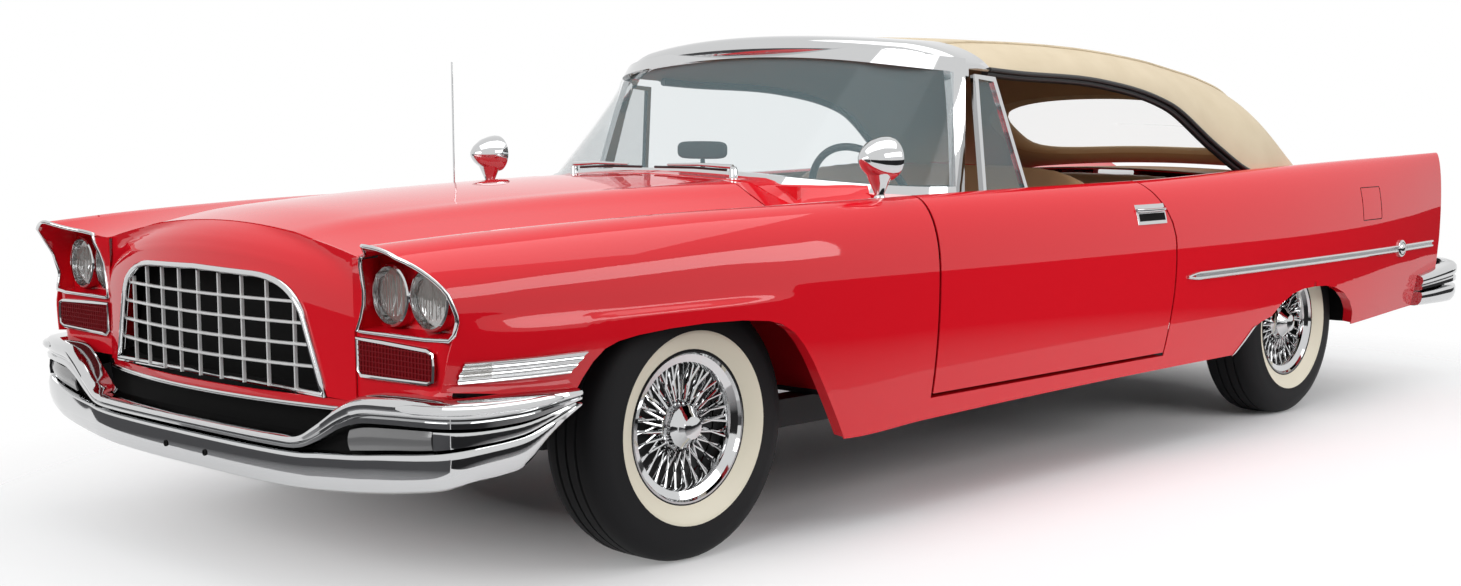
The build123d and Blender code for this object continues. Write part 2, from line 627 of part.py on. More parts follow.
shelf = lofted([shelf_section(FENDER_END_Y, 957), shelf_section(COWL_REAR_Y, 930)])
with BuildPart() as cowl:
    loft([hood_section(y, INNER_X, COWL_THICK) for y in (COWL_Y, FENDER_END_Y)])
    add(shelf)
    block((-640, 640), (-900, COWL_REAR_Y), (800, 1000), Mode.SUBTRACT)
    block((-POST_X, POST_X), (FLOOR_FRONT_Y, FLOOR_FRONT_Y + FIREWALL_THICK), (TUNNEL_Z, POST_Z))
    pair((TUNNEL_HALF, POST_X), (FLOOR_FRONT_Y, FLOOR_FRONT_Y + FIREWALL_THICK), (FLOOR_Z + FLOOR_THICK, 800))
    block((-INNER_X, INNER_X), (FLOOR_FRONT_Y, FLOOR_FRONT_Y + FIREWALL_THICK), (800, 930))
    pair((POST_X - 60, POST_X), (FLOOR_FRONT_Y, FENDER_END_Y + 60), (FLOOR_Z + FLOOR_THICK, POST_Z))
    pair((POST_X - 60, POST_X), (FENDER_END_Y, FENDER_END_Y + 60), (POST_Z - 5, COWL_SIDE_Z - 20))
    for side in (-1, 1):
        for row in HINGE_ROWS:
            low = row["z"] - BRACKET_THICK
            with BuildSketch(Plane.XY.offset(low)):
                with BuildLine():
                    Polyline(
                        (side * (POST_X - 5), DOOR_HINGE_Y - 40), (side * DOOR_HINGE_X, DOOR_HINGE_Y - HINGE_BOSS_R),
                        (side * DOOR_HINGE_X, DOOR_HINGE_Y + HINGE_BOSS_R - 3), (side * (POST_X - 5), DOOR_HINGE_Y),
                        (side * (POST_X - 5), DOOR_HINGE_Y - 40),
                    )
                make_face()
            extrude(amount=BRACKET_THICK)
            rod((side * DOOR_HINGE_X, DOOR_HINGE_Y, low), (0, 0, 1), HINGE_BOSS_R, BRACKET_THICK)
            rod((side * DOOR_HINGE_X, DOOR_HINGE_Y, low), (0, 0, 1), HINGE_PIN_R, BRACKET_THICK + PIN_LEN)
        x = side * HOOD_ARM_X
        block(
            (min(x - side * 30, x - side * 5), max(x - side * 30, x - side * 5)),
            (HOOD_HINGE_Y - 16, FLOOR_FRONT_Y), (HOOD_HINGE_Z - 18, HOOD_HINGE_Z + 18),
        )
        rod((x - side * 10, HOOD_HINGE_Y, HOOD_HINGE_Z), (side, 0, 0), HINGE_PIN_R, HINGE_ARM + 12)
keep(cowl.part, "cowl")

# Doors: the whole thickness, hung on straps
RELIEF_Z = [360, 480, 600, 680, 760, 840]
fender_end = at(BODY, FENDER_END_Y)
with BuildPart() as relief:
    with BuildSketch(Plane.XZ):
        with BuildLine():
            edge = FENDER_END_Y - DOOR_HINGE_Y
            swing = [(math.hypot(side_x(fender_end, z) - DOOR_HINGE_X, edge) + DOOR_SWING_GAP, z) for z in RELIEF_Z]
            Polyline((0, RELIEF_Z[0]), *swing, (0, RELIEF_Z[-1]), close=True)
        make_face()
    revolve(axis=Axis.Z)
with BuildPart() as door:
    loft([full_section(y, DOOR_IN_X, DOOR_BOTTOM_Z, 6) for y in stations(BODY, DOOR_FRONT_Y, DOOR_REAR_Y + 30)])
    add(door_seam(0, 400), mode=Mode.SUBTRACT)
    add(Pos(DOOR_HINGE_X, DOOR_HINGE_Y, 0) * relief.part, mode=Mode.SUBTRACT)
    for row in HINGE_ROWS:
        with BuildSketch(Plane.XY.offset(row["z"] + 2)):
            with BuildLine():
                Polyline(*[(DOOR_HINGE_X + u, DOOR_HINGE_Y + v) for u, v in STRAP], close=True)
            make_face()
        extrude(amount=STRAP_THICK)
        rod((DOOR_HINGE_X, DOOR_HINGE_Y, row["z"] + 2), (0, 0, 1), HINGE_BOSS_R, STRAP_THICK)
        rod((DOOR_HINGE_X, DOOR_HINGE_Y, row["z"] + 1), (0, 0, 1), HINGE_PIN_R + FIT, STRAP_THICK + 2, Mode.SUBTRACT)
keep(door.part, "door_left")
keep(mirrored(door.part), "door_right")

# Door pulls
PULL_Y = (50, 222)
with BuildPart() as pull:
    y0, y1 = PULL_Y
    row = at(BODY, (y0 + y1) / 2)
    z = 812
    x = side_x(row, z)
    block((x - 20, x + 16), (y0, y0 + 26), (z - 12, z + 12))
    block((x - 20, x + 16), (y1 - 26, y1), (z - 12, z + 12))
    block((x + 8, x + 18), (y0, y1), (z - 11, z + 11))
    add(door.part, mode=Mode.SUBTRACT)
pulls = [s for s in pull.part.solids() if s.center().X > x - 5]
keep(Part(pulls), "door_pull_left")
keep(mirrored(Part(pulls)), "door_pull_right")


def lid_arms(hinge_y, hinge_z, forward, x_in, riser_top):
    """Swan neck on both sides: back from the pin, then up to the skin."""
    with BuildPart() as arm:
        neck = [(-8, 6), (-12, -8), (62, -HINGE_DROP), (HINGE_REACH, -HINGE_DROP), (HINGE_REACH, riser_top - hinge_z),
                (HINGE_REACH - 22, riser_top - hinge_z), (HINGE_REACH - 22, 22 - HINGE_DROP), (74, 22 - HINGE_DROP), (8, 4)]
        with BuildSketch(Plane.YZ.offset(x_in)):
            with BuildLine():
                Polyline(*[(hinge_y + forward * u, hinge_z + w) for u, w in neck], close=True)
            make_face()
        extrude(amount=HINGE_ARM)
        rod((x_in, hinge_y, hinge_z), (1, 0, 0), HINGE_BOSS_R, HINGE_ARM)
        rod((x_in - 1, hinge_y, hinge_z), (1, 0, 0), HINGE_PIN_R + FIT, HINGE_ARM + 2, Mode.SUBTRACT)
    return both_sides(arm.part)


# Hood hung at its rear edge, which is thinned to a lip
hood_edge = lofted([
    hood_section(y, HOOD_HALF + 1, HOOD_THICK + 2, EDGE_LIP) for y in (HOOD_REAR_Y - EDGE_DEPTH, HOOD_REAR_Y + 1)
])
with BuildPart() as hood:
    loft([hood_section(y, HOOD_HALF, HOOD_THICK) for y in stations(HOOD, HOOD_FRONT_Y, HOOD_REAR_Y)])
    add(hood_edge, mode=Mode.SUBTRACT)
    riser = hood_height(HOOD_HINGE_Y - HINGE_REACH, HOOD_ARM_X) - 12
    add(lid_arms(HOOD_HINGE_Y, HOOD_HINGE_Z, -1, HOOD_ARM_X, riser))
keep(hood.part, "hood")

# Trunk lid with its drop to the tail, hung at its front edge
LID_ARM_X = INNER_X - WALL - 36
LID_HALF = INNER_X - LID_GAP
LID_THICK = 25
LID_LOW_Z = 640
lid_edge = lofted([
    deck_section(y, LID_HALF + 1, LID_CROWN, LID_THICK + 2, EDGE_LIP) for y in (LID_FRONT_Y - 1, LID_FRONT_Y + EDGE_DEPTH)
])
with BuildPart() as lid:
    loft([deck_section(y, LID_HALF, LID_CROWN, LID_THICK) for y in stations(BODY, LID_FRONT_Y, LID_REAR_Y)])
    block((-LID_HALF, LID_HALF), (LID_REAR_Y - LID_THICK, LID_REAR_Y), (LID_LOW_Z, at(BODY, LID_REAR_Y)["valley_z"] - 5))
    add(lid_edge, mode=Mode.SUBTRACT)
    riser = at(BODY, LID_HINGE_Y + HINGE_REACH)["valley_z"] - 12
    add(lid_arms(LID_HINGE_Y, LID_HINGE_Z, 1, LID_ARM_X, riser))
keep(lid.part, "trunk_lid")

# Deck behind the cabin, on the side walls, with the lid's pins
DECK_END_Y = LID_FRONT_Y - EDGE_GAP
with BuildPart() as deck:
    loft([deck_section(y, INNER_X, LID_CROWN, LID_THICK) for y in stations(BODY, DECK_Y + 4, DECK_END_Y)])
    pair((INNER_X - WALL, INNER_X), (DECK_Y + 4, WALL_END_Y), (WALL_TOP_Z, 812))
    pair((INNER_X - WALL, INNER_X), (DECK_Y + 4, DECK_END_Y), (WALL_TOP_Z, 880))
    block((-INNER_X, INNER_X), (DECK_Y + 4, DECK_Y + 19), (WALL_TOP_Z, 880))
    for side in (-1, 1):
        rod((side * (INNER_X - 5), LID_HINGE_Y, LID_HINGE_Z), (-side, 0, 0), HINGE_PIN_R, WALL + 36)
keep(deck.part, "rear_deck")

# Tail panel under the lid
TAIL_LOW_Z = TRUNK_Z + 6
with BuildPart() as tail:
    block((-930, 930), (FRAME_END_Y - 40, FRAME_END_Y - 20), (TAIL_LOW_Z, 780))
    block((-INNER_X, INNER_X), (FRAME_END_Y - 45, FRAME_END_Y - 10), (TAIL_LOW_Z, 790), Mode.SUBTRACT)
    block((-INNER_X - 20, INNER_X + 20), (FRAME_END_Y, FRAME_END_Y + 25), (TAIL_LOW_Z, LID_LOW_Z - LID_GAP))
    pair((INNER_X, INNER_X + 20), (FRAME_END_Y - 40, FRAME_END_Y + 25), (TAIL_LOW_Z, 780))
    add(quarter.part, mode=Mode.SUBTRACT)
    add(mirror(quarter.part, about=Plane.YZ), mode=Mode.SUBTRACT)
keep(Part([max(tail.part.solids(), key=lambda solid: solid.volume)]), "tail_panel")

# Nose around the grille
NOSE_FRONT_Y = -2742
NOSE_LOW_Z = 475
GRILLE = [(485, 498), (420, 672), (250, 750)]
GRILLE_FRAME = 22


def grille_outline(grow):
    """Grille opening as seen from the front, grown by a margin."""
    (low_x, low_z), (side_x_, side_z), (top_x, top_z) = GRILLE
    right = [(low_x + grow, low_z - grow), (side_x_ + grow, side_z + grow * 0.4), (top_x + grow * 0.5, top_z + grow)]
    Polyline(*right)
    Polyline(*[(-x, z) for x, z in right])
    ThreePointArc((-right[2][0], right[2][1]), (0, top_z + grow + 6), right[2])
    Line((-right[0][0], right[0][1]), right[0])


def nose_slab(front, depth):
    """Curved slab seen from above, swept over the nose height."""
    with BuildPart() as slab:
        with BuildSketch(Plane.XY.offset(NOSE_LOW_Z)):
            with BuildLine():
                for back in (0, depth):
                    ThreePointArc((-INNER_X, front + 72 + back), (0, front + back), (INNER_X, front + 72 + back))
                for side in (-INNER_X, INNER_X):
                    Line((side, front + 72), (side, front + 72 + depth))
            make_face()
        extrude(amount=500)
    return slab.part


NOSE_TOP = [(-2748, 780), (-2738, 820), (-2712, 848), (HOOD_FRONT_Y - LID_GAP, 868)]
with BuildPart() as nose:
    add(nose_slab(NOSE_FRONT_Y, 60))
    with BuildSketch(Plane.YZ.offset(-INNER_X)):
        with BuildLine():
            Polyline(
                (NOSE_TOP[3][0], 868), (NOSE_TOP[2][0], 848), (NOSE_TOP[1][0], 820), (-2748, 780), (-2748, NOSE_LOW_Z),
                (-2580, NOSE_LOW_Z), (-2580, 752), (NOSE_TOP[3][0], 772), (NOSE_TOP[3][0], 868),
            )
        make_face()
    extrude(amount=2 * INNER_X, mode=Mode.INTERSECT)
    with BuildSketch(Plane.XZ.offset(2900)):
        with BuildLine():
            edge_z = at(BODY, HOOD_FRONT_Y)["valley_z"]
            ThreePointArc((-INNER_X, edge_z), (0, NOSE_TOP[3][1] + 8), (INNER_X, edge_z))
            Polyline((-INNER_X, edge_z), (-INNER_X, NOSE_LOW_Z), (INNER_X, NOSE_LOW_Z), (INNER_X, edge_z))
        make_face()
    extrude(amount=-500, mode=Mode.INTERSECT)
    with BuildSketch(Plane.XZ.offset(2900)):
        with BuildLine():
            grille_outline(GRILLE_FRAME)
        make_face()
    extrude(amount=-500, mode=Mode.SUBTRACT)
keep(nose.part, "nose_panel")

# Grille of crossed bars in a bright frame
BAR_COLUMNS = 9
BAR_ROWS = 4
BAR = 7
with BuildPart() as grille:
    with BuildSketch(Plane.XZ.offset(2900)):
        with BuildLine():
            grille_outline(GRILLE_FRAME - FIT)
        make_face()
        with BuildLine():
            grille_outline(0)
        make_face(mode=Mode.SUBTRACT)
    with BuildSketch(Plane.XZ.offset(2900)):
        with BuildLine():
            grille_outline(1)
        make_face()
        with BuildSketch(Plane.XZ.offset(2900), mode=Mode.PRIVATE) as bars:
            for k in range(BAR_COLUMNS):
                with Locations(((k - (BAR_COLUMNS - 1) / 2) * 2 * GRILLE[0][0] / (BAR_COLUMNS + 1), 620)):
                    Rectangle(BAR, 400)
            for k in range(BAR_ROWS):
                with Locations((0, GRILLE[0][1] + (k + 1) * (GRILLE[2][1] - GRILLE[0][1]) / (BAR_ROWS + 1))):
                    Rectangle(1200, BAR)
        add(bars.sketch, mode=Mode.INTERSECT)
    extrude(amount=-500)
    add(nose_slab(NOSE_FRONT_Y + 8, 34), mode=Mode.INTERSECT)
keep(grille.part, "grille")

# Radiator behind the grille
with BuildPart() as radiator:
    block((-440, 440), (-2575, -2520), (RAIL_Z + RAIL_H, 790))
keep(radiator.part, "radiator")

# Lamps in bright rims, two to a side
LAMPS = [dict(x=680, z=727), dict(x=828, z=727)]
LAMP_R = 66
RIM_R = 74
RIM_DEPTH = 34


def turned(points, centre):
    """Solid turned about a fore and aft axis, from radius and forward reach."""
    with BuildPart() as piece:
        with BuildSketch(Plane.XY):
            with BuildLine():
                Polyline(*[(radius, -reach) for radius, reach in points], close=True)
            make_face()
        revolve(axis=Axis.Y)
    return Pos(*centre) * piece.part


with BuildPart() as rims:
    for row in LAMPS:
        ring = [(LAMP_R + FIT, 0), (RIM_R, 0), (RIM_R, RIM_DEPTH - 8), (RIM_R - 4, RIM_DEPTH), (LAMP_R + FIT, RIM_DEPTH)]
        add(turned(ring, (row["x"], LAMP_Y - FIT, row["z"])))
keep(both_sides(rims.part), "headlamp_rims")
with BuildPart() as lamps:
    for row in LAMPS:
        dome = [(0, 0), (LAMP_R, 0), (LAMP_R, 12), (LAMP_R * 0.8, 22), (LAMP_R * 0.45, 29), (0, 32)]
        add(turned(dome, (row["x"], LAMP_Y - FIT, row["z"])))
keep(both_sides(lamps.part), "headlamps")

# Air inlets under the lamps
DUCT_X = (INNER_X + 2, 892)
DUCT_Z = (536, 630)
DUCT_FRONT_Y = -2664
DUCT_EDGE = 14
with BuildPart() as ducts:
    block(DUCT_X, (DUCT_FRONT_Y, LAMP_Y - FIT), DUCT_Z)
    block(
        (DUCT_X[0] + DUCT_EDGE, DUCT_X[1] - DUCT_EDGE), (DUCT_FRONT_Y - 1, LAMP_Y - 20),
        (DUCT_Z[0] + DUCT_EDGE, DUCT_Z[1] - DUCT_EDGE), Mode.SUBTRACT,
    )
    add(fender.part, mode=Mode.SUBTRACT)
keep(both_sides(ducts.part), "inlet_frames")


def band(y0, y1, low_z, high_z, out, panel):
    """Strip laid on a body side, cut back to the panel's skin."""
    faces = []
    for y in stations(BODY, y0, y1):
        row = at(BODY, y)
        with BuildSketch(Plane.XZ.offset(-y)) as section:
            with BuildLine():
                Polyline(
                    (side_x(row, low_z) - 12, low_z), (side_x(row, low_z) + out, low_z),
                    (side_x(row, high_z) + out, high_z), (side_x(row, high_z) - 12, high_z), close=True,
                )
            make_face()
        faces.append(section.sketch.face())
    with BuildPart() as strip:
        loft(faces)
        add(panel, mode=Mode.SUBTRACT)
    return max(strip.part.solids(), key=lambda solid: solid.volume)


# Bright strips on the front fender and the quarter panel
STRIP_Y = (-2640, -2322)
STRIP_Z = (544, 594)
SPEAR_Y = (330, 2480)
SPEAR_Z = (578, 606)
TRIM_OUT = 8
strip = band(*STRIP_Y, *STRIP_Z, TRIM_OUT, fender.part)
spear = band(*SPEAR_Y, *SPEAR_Z, TRIM_OUT, quarter.part)
BOSS_Y = 2102
BOSS_R = 32
with BuildPart() as boss:
    x = side_x(at(BODY, BOSS_Y), SPEAR_Z[0])
    rod((x - 12, BOSS_Y, sum(SPEAR_Z) / 2), (1, 0, 0), BOSS_R, 12 + TRIM_OUT + 6)
    add(quarter.part, mode=Mode.SUBTRACT)
    add(spear)
spear = max(boss.part.solids(), key=lambda solid: solid.volume)
keep(both_sides(Part([strip, spear])), "side_trim")

# Bumpers: half width, face, top, bottom
FRONT_BUMPER = [
    dict(x=0, face_y=-2784, top_z=432, low_z=266),
    dict(x=380, face_y=-2777, top_z=434, low_z=267),
    dict(x=720, face_y=-2750, top_z=462, low_z=286),
    dict(x=930, face_y=-2708, top_z=508, low_z=314),
    dict(x=978, face_y=-2668, top_z=514, low_z=326),
]
REAR_BUMPER = [
    dict(x=0, face_y=2784, top_z=520, low_z=360),
    dict(x=400, face_y=2780, top_z=520, low_z=360),
    dict(x=740, face_y=2764, top_z=520, low_z=350),
    dict(x=900, face_y=2728, top_z=512, low_z=336),
    dict(x=936, face_y=2690, top_z=500, low_z=330),
]
BUMPER_DEPTH = 92
WING = 22
BLADE_H = 78
GROOVE = 16
LAMP_SLOT_X = 745
LAMP_SLOT_Z = 338
LAMP_SLOT_Y = 2716
APRON_HOLE_R = 5
APRON_HOLE_X = 95
APRON_HOLE_Z = 312


def bumper_bar(table, inward):
    """Bar through sections across the car, mirrored to both ends."""
    rows = [dict(row, x=-row["x"]) for row in reversed(table[1:])] + table
    faces = []
    for row in rows:
        face, top, low = row["face_y"], row["top_z"], row["low_z"]
        with BuildSketch(Plane.YZ.offset(row["x"])) as section:
            with BuildLine():
                ThreePointArc((face + inward * 26, top), (face, top * 0.45 + low * 0.55), (face + inward * 44, low))
                Polyline(
                    (face + inward * 44, low), (face + inward * BUMPER_DEPTH, low),
                    (face + inward * BUMPER_DEPTH, top), (face + inward * 26, top),
                )
            make_face()
        faces.append(section.sketch.face())
    return lofted(faces)


def bumper_wing(points, outer_x):
    """Side wing from its outline seen from the side."""
    with BuildPart() as wing:
        with BuildSketch(Plane.YZ.offset(outer_x - WING)):
            with BuildLine():
                Polyline(*points, close=True)
            make_face()
        extrude(amount=WING)
    return both_sides(wing.part)


def bumper_groove(table):
    """Groove along the bar's face, under its upper blade."""
    rows = [dict(row, x=-row["x"]) for row in reversed(table[1:])] + table
    faces = []
    for row in rows:
        top = row["top_z"] - BLADE_H
        with BuildSketch(Plane.YZ.offset(row["x"])) as section:
            with BuildLine():
                y = row["face_y"]
                Polyline((y - 20, top), (y + GROOVE, top), (y + GROOVE, top - 10), (y - 20, top - 22), close=True)
            make_face()
        faces.append(section.sketch.face())
    return lofted(faces)


with BuildPart() as front_bumper:
    add(bumper_bar(FRONT_BUMPER, 1))
    add(bumper_groove(FRONT_BUMPER), mode=Mode.SUBTRACT)
    with BuildSketch(Plane.XZ.offset(2900)):
        with Locations((LAMP_SLOT_X, LAMP_SLOT_Z), (-LAMP_SLOT_X, LAMP_SLOT_Z)):
            SlotOverall(150, 46)
    extrude(amount=LAMP_SLOT_Y - 2900, mode=Mode.SUBTRACT)
    add(bumper_wing([(-2640, 330), (-2640, 510), (-2320, 510), (-2320, 472), (-2476, 326)], FRONT_BUMPER[-1]["x"]))
    pair((RAIL_IN_X, RAIL_OUT_X), (-2715, RAIL_FRONT_Y - FIT), (RAIL_Z + 20, RAIL_Z + RAIL_H - 10))
    for side in (-1, 1):
        rod((side * APRON_HOLE_X, -2900, APRON_HOLE_Z), (0, 1, 0), APRON_HOLE_R, 400, Mode.SUBTRACT)
keep(front_bumper.part, "front_bumper")
with BuildPart() as rear_bumper:
    add(bumper_bar(REAR_BUMPER, -1))
    add(bumper_wing([(2660, 334), (2660, 496), (2330, 466), (2345, 334)], REAR_BUMPER[-1]["x"]))
    pair((REAR_RAIL_IN_X, REAR_RAIL_OUT_X), (FRAME_END_Y + FIT, 2720), (REAR_RAIL_Z + 10, TRUNK_Z - 10))
keep(rear_bumper.part, "rear_bumper")

# Windscreen: points round one half, at the base and the top, and the way out
SCREEN = [
    dict(base=(0, -1172), top=(0, -742), out=(0, -1)),
    dict(base=(500, -1120), top=(480, -706), out=(0.25, -0.97)),
    dict(base=(728, -925), top=(640, -650), out=(0.8, -0.6)),
    dict(base=(795, -640), top=(735, -560), out=(0.99, -0.1)),
]
SCREEN_Z = (925, 1322)
BAND_LOW_Z = 900
BAND_HIGH_Z = 1372
FRAME_THICK = 26
PILLAR = 46
HEADER_Z = (1300, 1366)
OPENING_TOP_Z = (1258, 1324)
OPENING_LOW_Z = (922, 976)


def screen_face(z, outset, thick, short):
    """Band round the screen at one height, its ends brought in by a distance."""
    share = (z - SCREEN_Z[0]) / (SCREEN_Z[1] - SCREEN_Z[0])
    with BuildSketch(Plane.XY.offset(z)) as section:
        with BuildLine():
            ends = []
            for reach in (outset, outset - thick):
                line = []
                for k, row in enumerate(SCREEN):
                    x = row["base"][0] + (row["top"][0] - row["base"][0]) * share + row["out"][0] * reach
                    y = row["base"][1] + (row["top"][1] - row["base"][1]) * share + row["out"][1] * reach
                    line.append((x, y - short) if k == 3 else (x, y))
                ThreePointArc((-line[1][0], line[1][1]), line[0], line[1])
                ThreePointArc(*line[1:])
                ThreePointArc(*[(-x, y) for x, y in line[1:]])
                ends.append(line[3])
            Line(*ends)
            Line(*[(-x, y) for x, y in ends])
        make_face()
    return section.sketch.face()


def screen_band(outset, thick, short):
    return lofted([screen_face(z, outset, thick, short) for z in (BAND_LOW_Z, BAND_HIGH_Z)])


def screen_window(shrink):
    """Outline of the glass as seen from the front, swept back."""
    with BuildPart() as window:
        with BuildSketch(Plane.XZ.offset(1400)):
            with BuildLine():
                wide = 900
                top, low = OPENING_TOP_Z, OPENING_LOW_Z
                ThreePointArc((-wide, top[0] - 22), (0, top[1] - shrink), (wide, top[0] - 22))
                ThreePointArc((-wide, low[0] - 14), (0, low[1] + shrink), (wide, low[0] - 14))
                for side in (-wide, wide):
                    Line((side, top[0] - 22), (side, low[0] - 14))
            make_face()
        extrude(amount=-1100)
    return window.part


with BuildPart() as opening:
    add(screen_band(60, 120, PILLAR))
    add(screen_window(0), mode=Mode.INTERSECT)
with BuildPart() as screen_frame:
    add(screen_band(FRAME_THICK / 2, FRAME_THICK, 0))
    with BuildSketch(Plane.XZ.offset(1400)):
        with BuildLine():
            ThreePointArc((-900, HEADER_Z[0] - 22), (0, HEADER_Z[1]), (900, HEADER_Z[0] - 22))
            Polyline((-900, HEADER_Z[0] - 22), (-900, 800), (900, 800), (900, HEADER_Z[0] - 22))
        make_face()
    extrude(amount=-1100, mode=Mode.INTERSECT)
    add(opening.part, mode=Mode.SUBTRACT)
    add(cowl.part, mode=Mode.SUBTRACT)
frame_solid = max(screen_frame.part.solids(), key=lambda solid: solid.volume)
keep(Part([frame_solid]), "windscreen_frame")
with BuildPart() as glass:
    add(screen_band(GLASS_THICK / 2, GLASS_THICK, PILLAR + FIT))
    add(screen_window(FIT), mode=Mode.INTERSECT)
    add(cowl.part, mode=Mode.SUBTRACT)
keep(Part([max(glass.part.solids(), key=lambda solid: solid.volume)]), "windscreen_glass")

# Soft top: station, lower edge, shoulder, crown
SOFT_TOP = [
    dict(y=-730, edge_x=742, edge_z=1290, shoulder_x=560, shoulder_z=1344, crown_z=1378),
    dict(y=-300, edge_x=742, edge_z=1264, shoulder_x=600, shoulder_z=1364, crown_z=1400),
    dict(y=200, edge_x=748, edge_z=1242, shoulder_x=615, shoulder_z=1356, crown_z=1400),
    dict(y=600, edge_x=770, edge_z=1166, shoulder_x=625, shoulder_z=1325, crown_z=1376),
    dict(y=850, edge_x=810, edge_z=1020, shoulder_x=635, shoulder_z=1288, crown_z=1344),
    dict(y=1000, edge_x=862, edge_z=926, shoulder_x=640, shoulder_z=1262, crown_z=1318),
    dict(y=1200, edge_x=862, edge_z=930, shoulder_x=640, shoulder_z=1206, crown_z=1262),
    dict(y=1450, edge_x=812, edge_z=905, shoulder_x=625, shoulder_z=1060, crown_z=1106),
    dict(y=1742, edge_x=700, edge_z=886, shoulder_x=560, shoulder_z=918, crown_z=940),
]
WINDOW_HALF = 420
WINDOW_Y = (1300, 1580)


def top_section(row):
    """Hoop of fabric at one station."""
    with BuildSketch(Plane.XZ.offset(-row["y"])) as section:
        with BuildLine():
            for inset in (0, TOP_THICK):
                shoulder = (row["shoulder_x"] - inset * 0.5, row["shoulder_z"] - inset * 0.85)
                edge = (row["edge_x"] - inset, row["edge_z"])
                bow_x = edge[0] * 0.56 + shoulder[0] * 0.44 + 0.10 * (shoulder[1] - edge[1])
                bow_z = edge[1] * 0.42 + shoulder[1] * 0.58
                ThreePointArc((-shoulder[0], shoulder[1]), (0, row["crown_z"] - inset), shoulder)
                for side in (-1, 1):
                    ThreePointArc((side * edge[0], edge[1]), (side * bow_x, bow_z), (side * shoulder[0], shoulder[1]))
            for side in (-1, 1):
                Line((side * row["edge_x"], row["edge_z"]), (side * (row["edge_x"] - TOP_THICK), row["edge_z"]))
        make_face()
    return section.sketch.face()


shell = lofted([top_section(row) for row in SOFT_TOP], True)
with BuildPart() as soft_top:
    add(shell)
    with BuildSketch(Plane.XY.offset(1000)):
        with BuildLine():
            ThreePointArc((-760, -545), (0, -716), (760, -545))
            Polyline((-760, -545), (-900, -545), (-900, -900), (900, -900), (900, -545), (760, -545))
        make_face()
    extrude(amount=600, mode=Mode.SUBTRACT)
    block((-WINDOW_HALF, WINDOW_HALF), WINDOW_Y, (850, 1400), Mode.SUBTRACT)
    add(frame_solid, mode=Mode.SUBTRACT)
    add(quarter.part, mode=Mode.SUBTRACT)
    add(mirror(quarter.part, about=Plane.YZ), mode=Mode.SUBTRACT)
    add(deck.part, mode=Mode.SUBTRACT)
keep(Part([max(soft_top.part.solids(), key=lambda solid: solid.volume)]), "soft_top")
with BuildPart() as pane:
    add(shell)
    block(
        (-WINDOW_HALF + FIT, WINDOW_HALF - FIT), (WINDOW_Y[0] + FIT, WINDOW_Y[1] - FIT), (850, 1400), Mode.INTERSECT
    )
keep(pane.part, "rear_window")

# Vent windows on the doors
VENT_LEAN = math.radians(14)
VENT = [(-628, -14), (-556, 366), (-452, 358), (-392, -14)]
VENT_BAR = 15
VENT_PLANE = Plane(
    origin=(858, 0, 900), x_dir=(0, 1, 0), z_dir=(math.cos(VENT_LEAN), 0, math.sin(VENT_LEAN))
)


def vent_outline(inset):
    """Outline of the vent window, brought in from its edge."""
    (y0, z0), (y1, z1), (y2, z2), (y3, z3) = VENT
    return [(y0 + inset * 1.2, z0 + inset), (y1 + inset, z1 - inset), (y2 - inset, z2 - inset), (y3 - inset * 1.2, z3 + inset)]


with BuildPart() as vent:
    with BuildSketch(VENT_PLANE):
        with BuildLine():
            Polyline(*vent_outline(0), close=True)
        make_face()
        with BuildLine():
            Polyline(*vent_outline(VENT_BAR), close=True)
        make_face(mode=Mode.SUBTRACT)
    extrude(amount=9, both=True)
    add(door.part, mode=Mode.SUBTRACT)
with BuildPart() as vent_glass:
    with BuildSketch(VENT_PLANE):
        with BuildLine():
            Polyline(*vent_outline(VENT_BAR + FIT), close=True)
        make_face()
    extrude(amount=2.5, both=True)
    add(door.part, mode=Mode.SUBTRACT)
vent_frame = Part([max(vent.part.solids(), key=lambda solid: solid.volume)])
vent_pane = Part([max(vent_glass.part.solids(), key=lambda solid: solid.volume)])
keep(vent_frame, "vent_frame_left")
keep(mirrored(vent_frame), "vent_frame_right")
keep(vent_pane, "vent_glass_left")
keep(mirrored(vent_pane), "vent_glass_right")

# Seats
SEAT_BASE_Z = FLOOR_Z + FLOOR_THICK
with BuildPart() as front_seat:
    pair((TUNNEL_HALF + 20, 640), (-300, 150), (SEAT_BASE_Z, 500))
    block((-690, 690), (-350, 190), (490, 600))
    with BuildSketch(Plane.YZ.offset(-690)):
        with BuildLine():
            Polyline((100, 560), (190, 560), (320, 1000), (240, 1000), close=True)
        make_face()
    extrude(amount=1380)
keep(front_seat.part, "front_seat")
REAR_SEAT_HALF = INNER_X - WALL - 8
with BuildPart() as rear_seat:
    block((-REAR_SEAT_HALF, REAR_SEAT_HALF), (KICK_Y + 40, 1130), (TRUNK_Z + WALL, 640))
    block((-REAR_SEAT_HALF, REAR_SEAT_HALF), (700, 1130), (540, 640))
    with BuildSketch(Plane.YZ.offset(-REAR_SEAT_HALF)):
        with BuildLine():
            Polyline((1080, 600), (1165, 600), (1270, 900), (1190, 900), close=True)
        make_face()
    extrude(amount=2 * REAR_SEAT_HALF)
keep(rear_seat.part, "rear_seat")

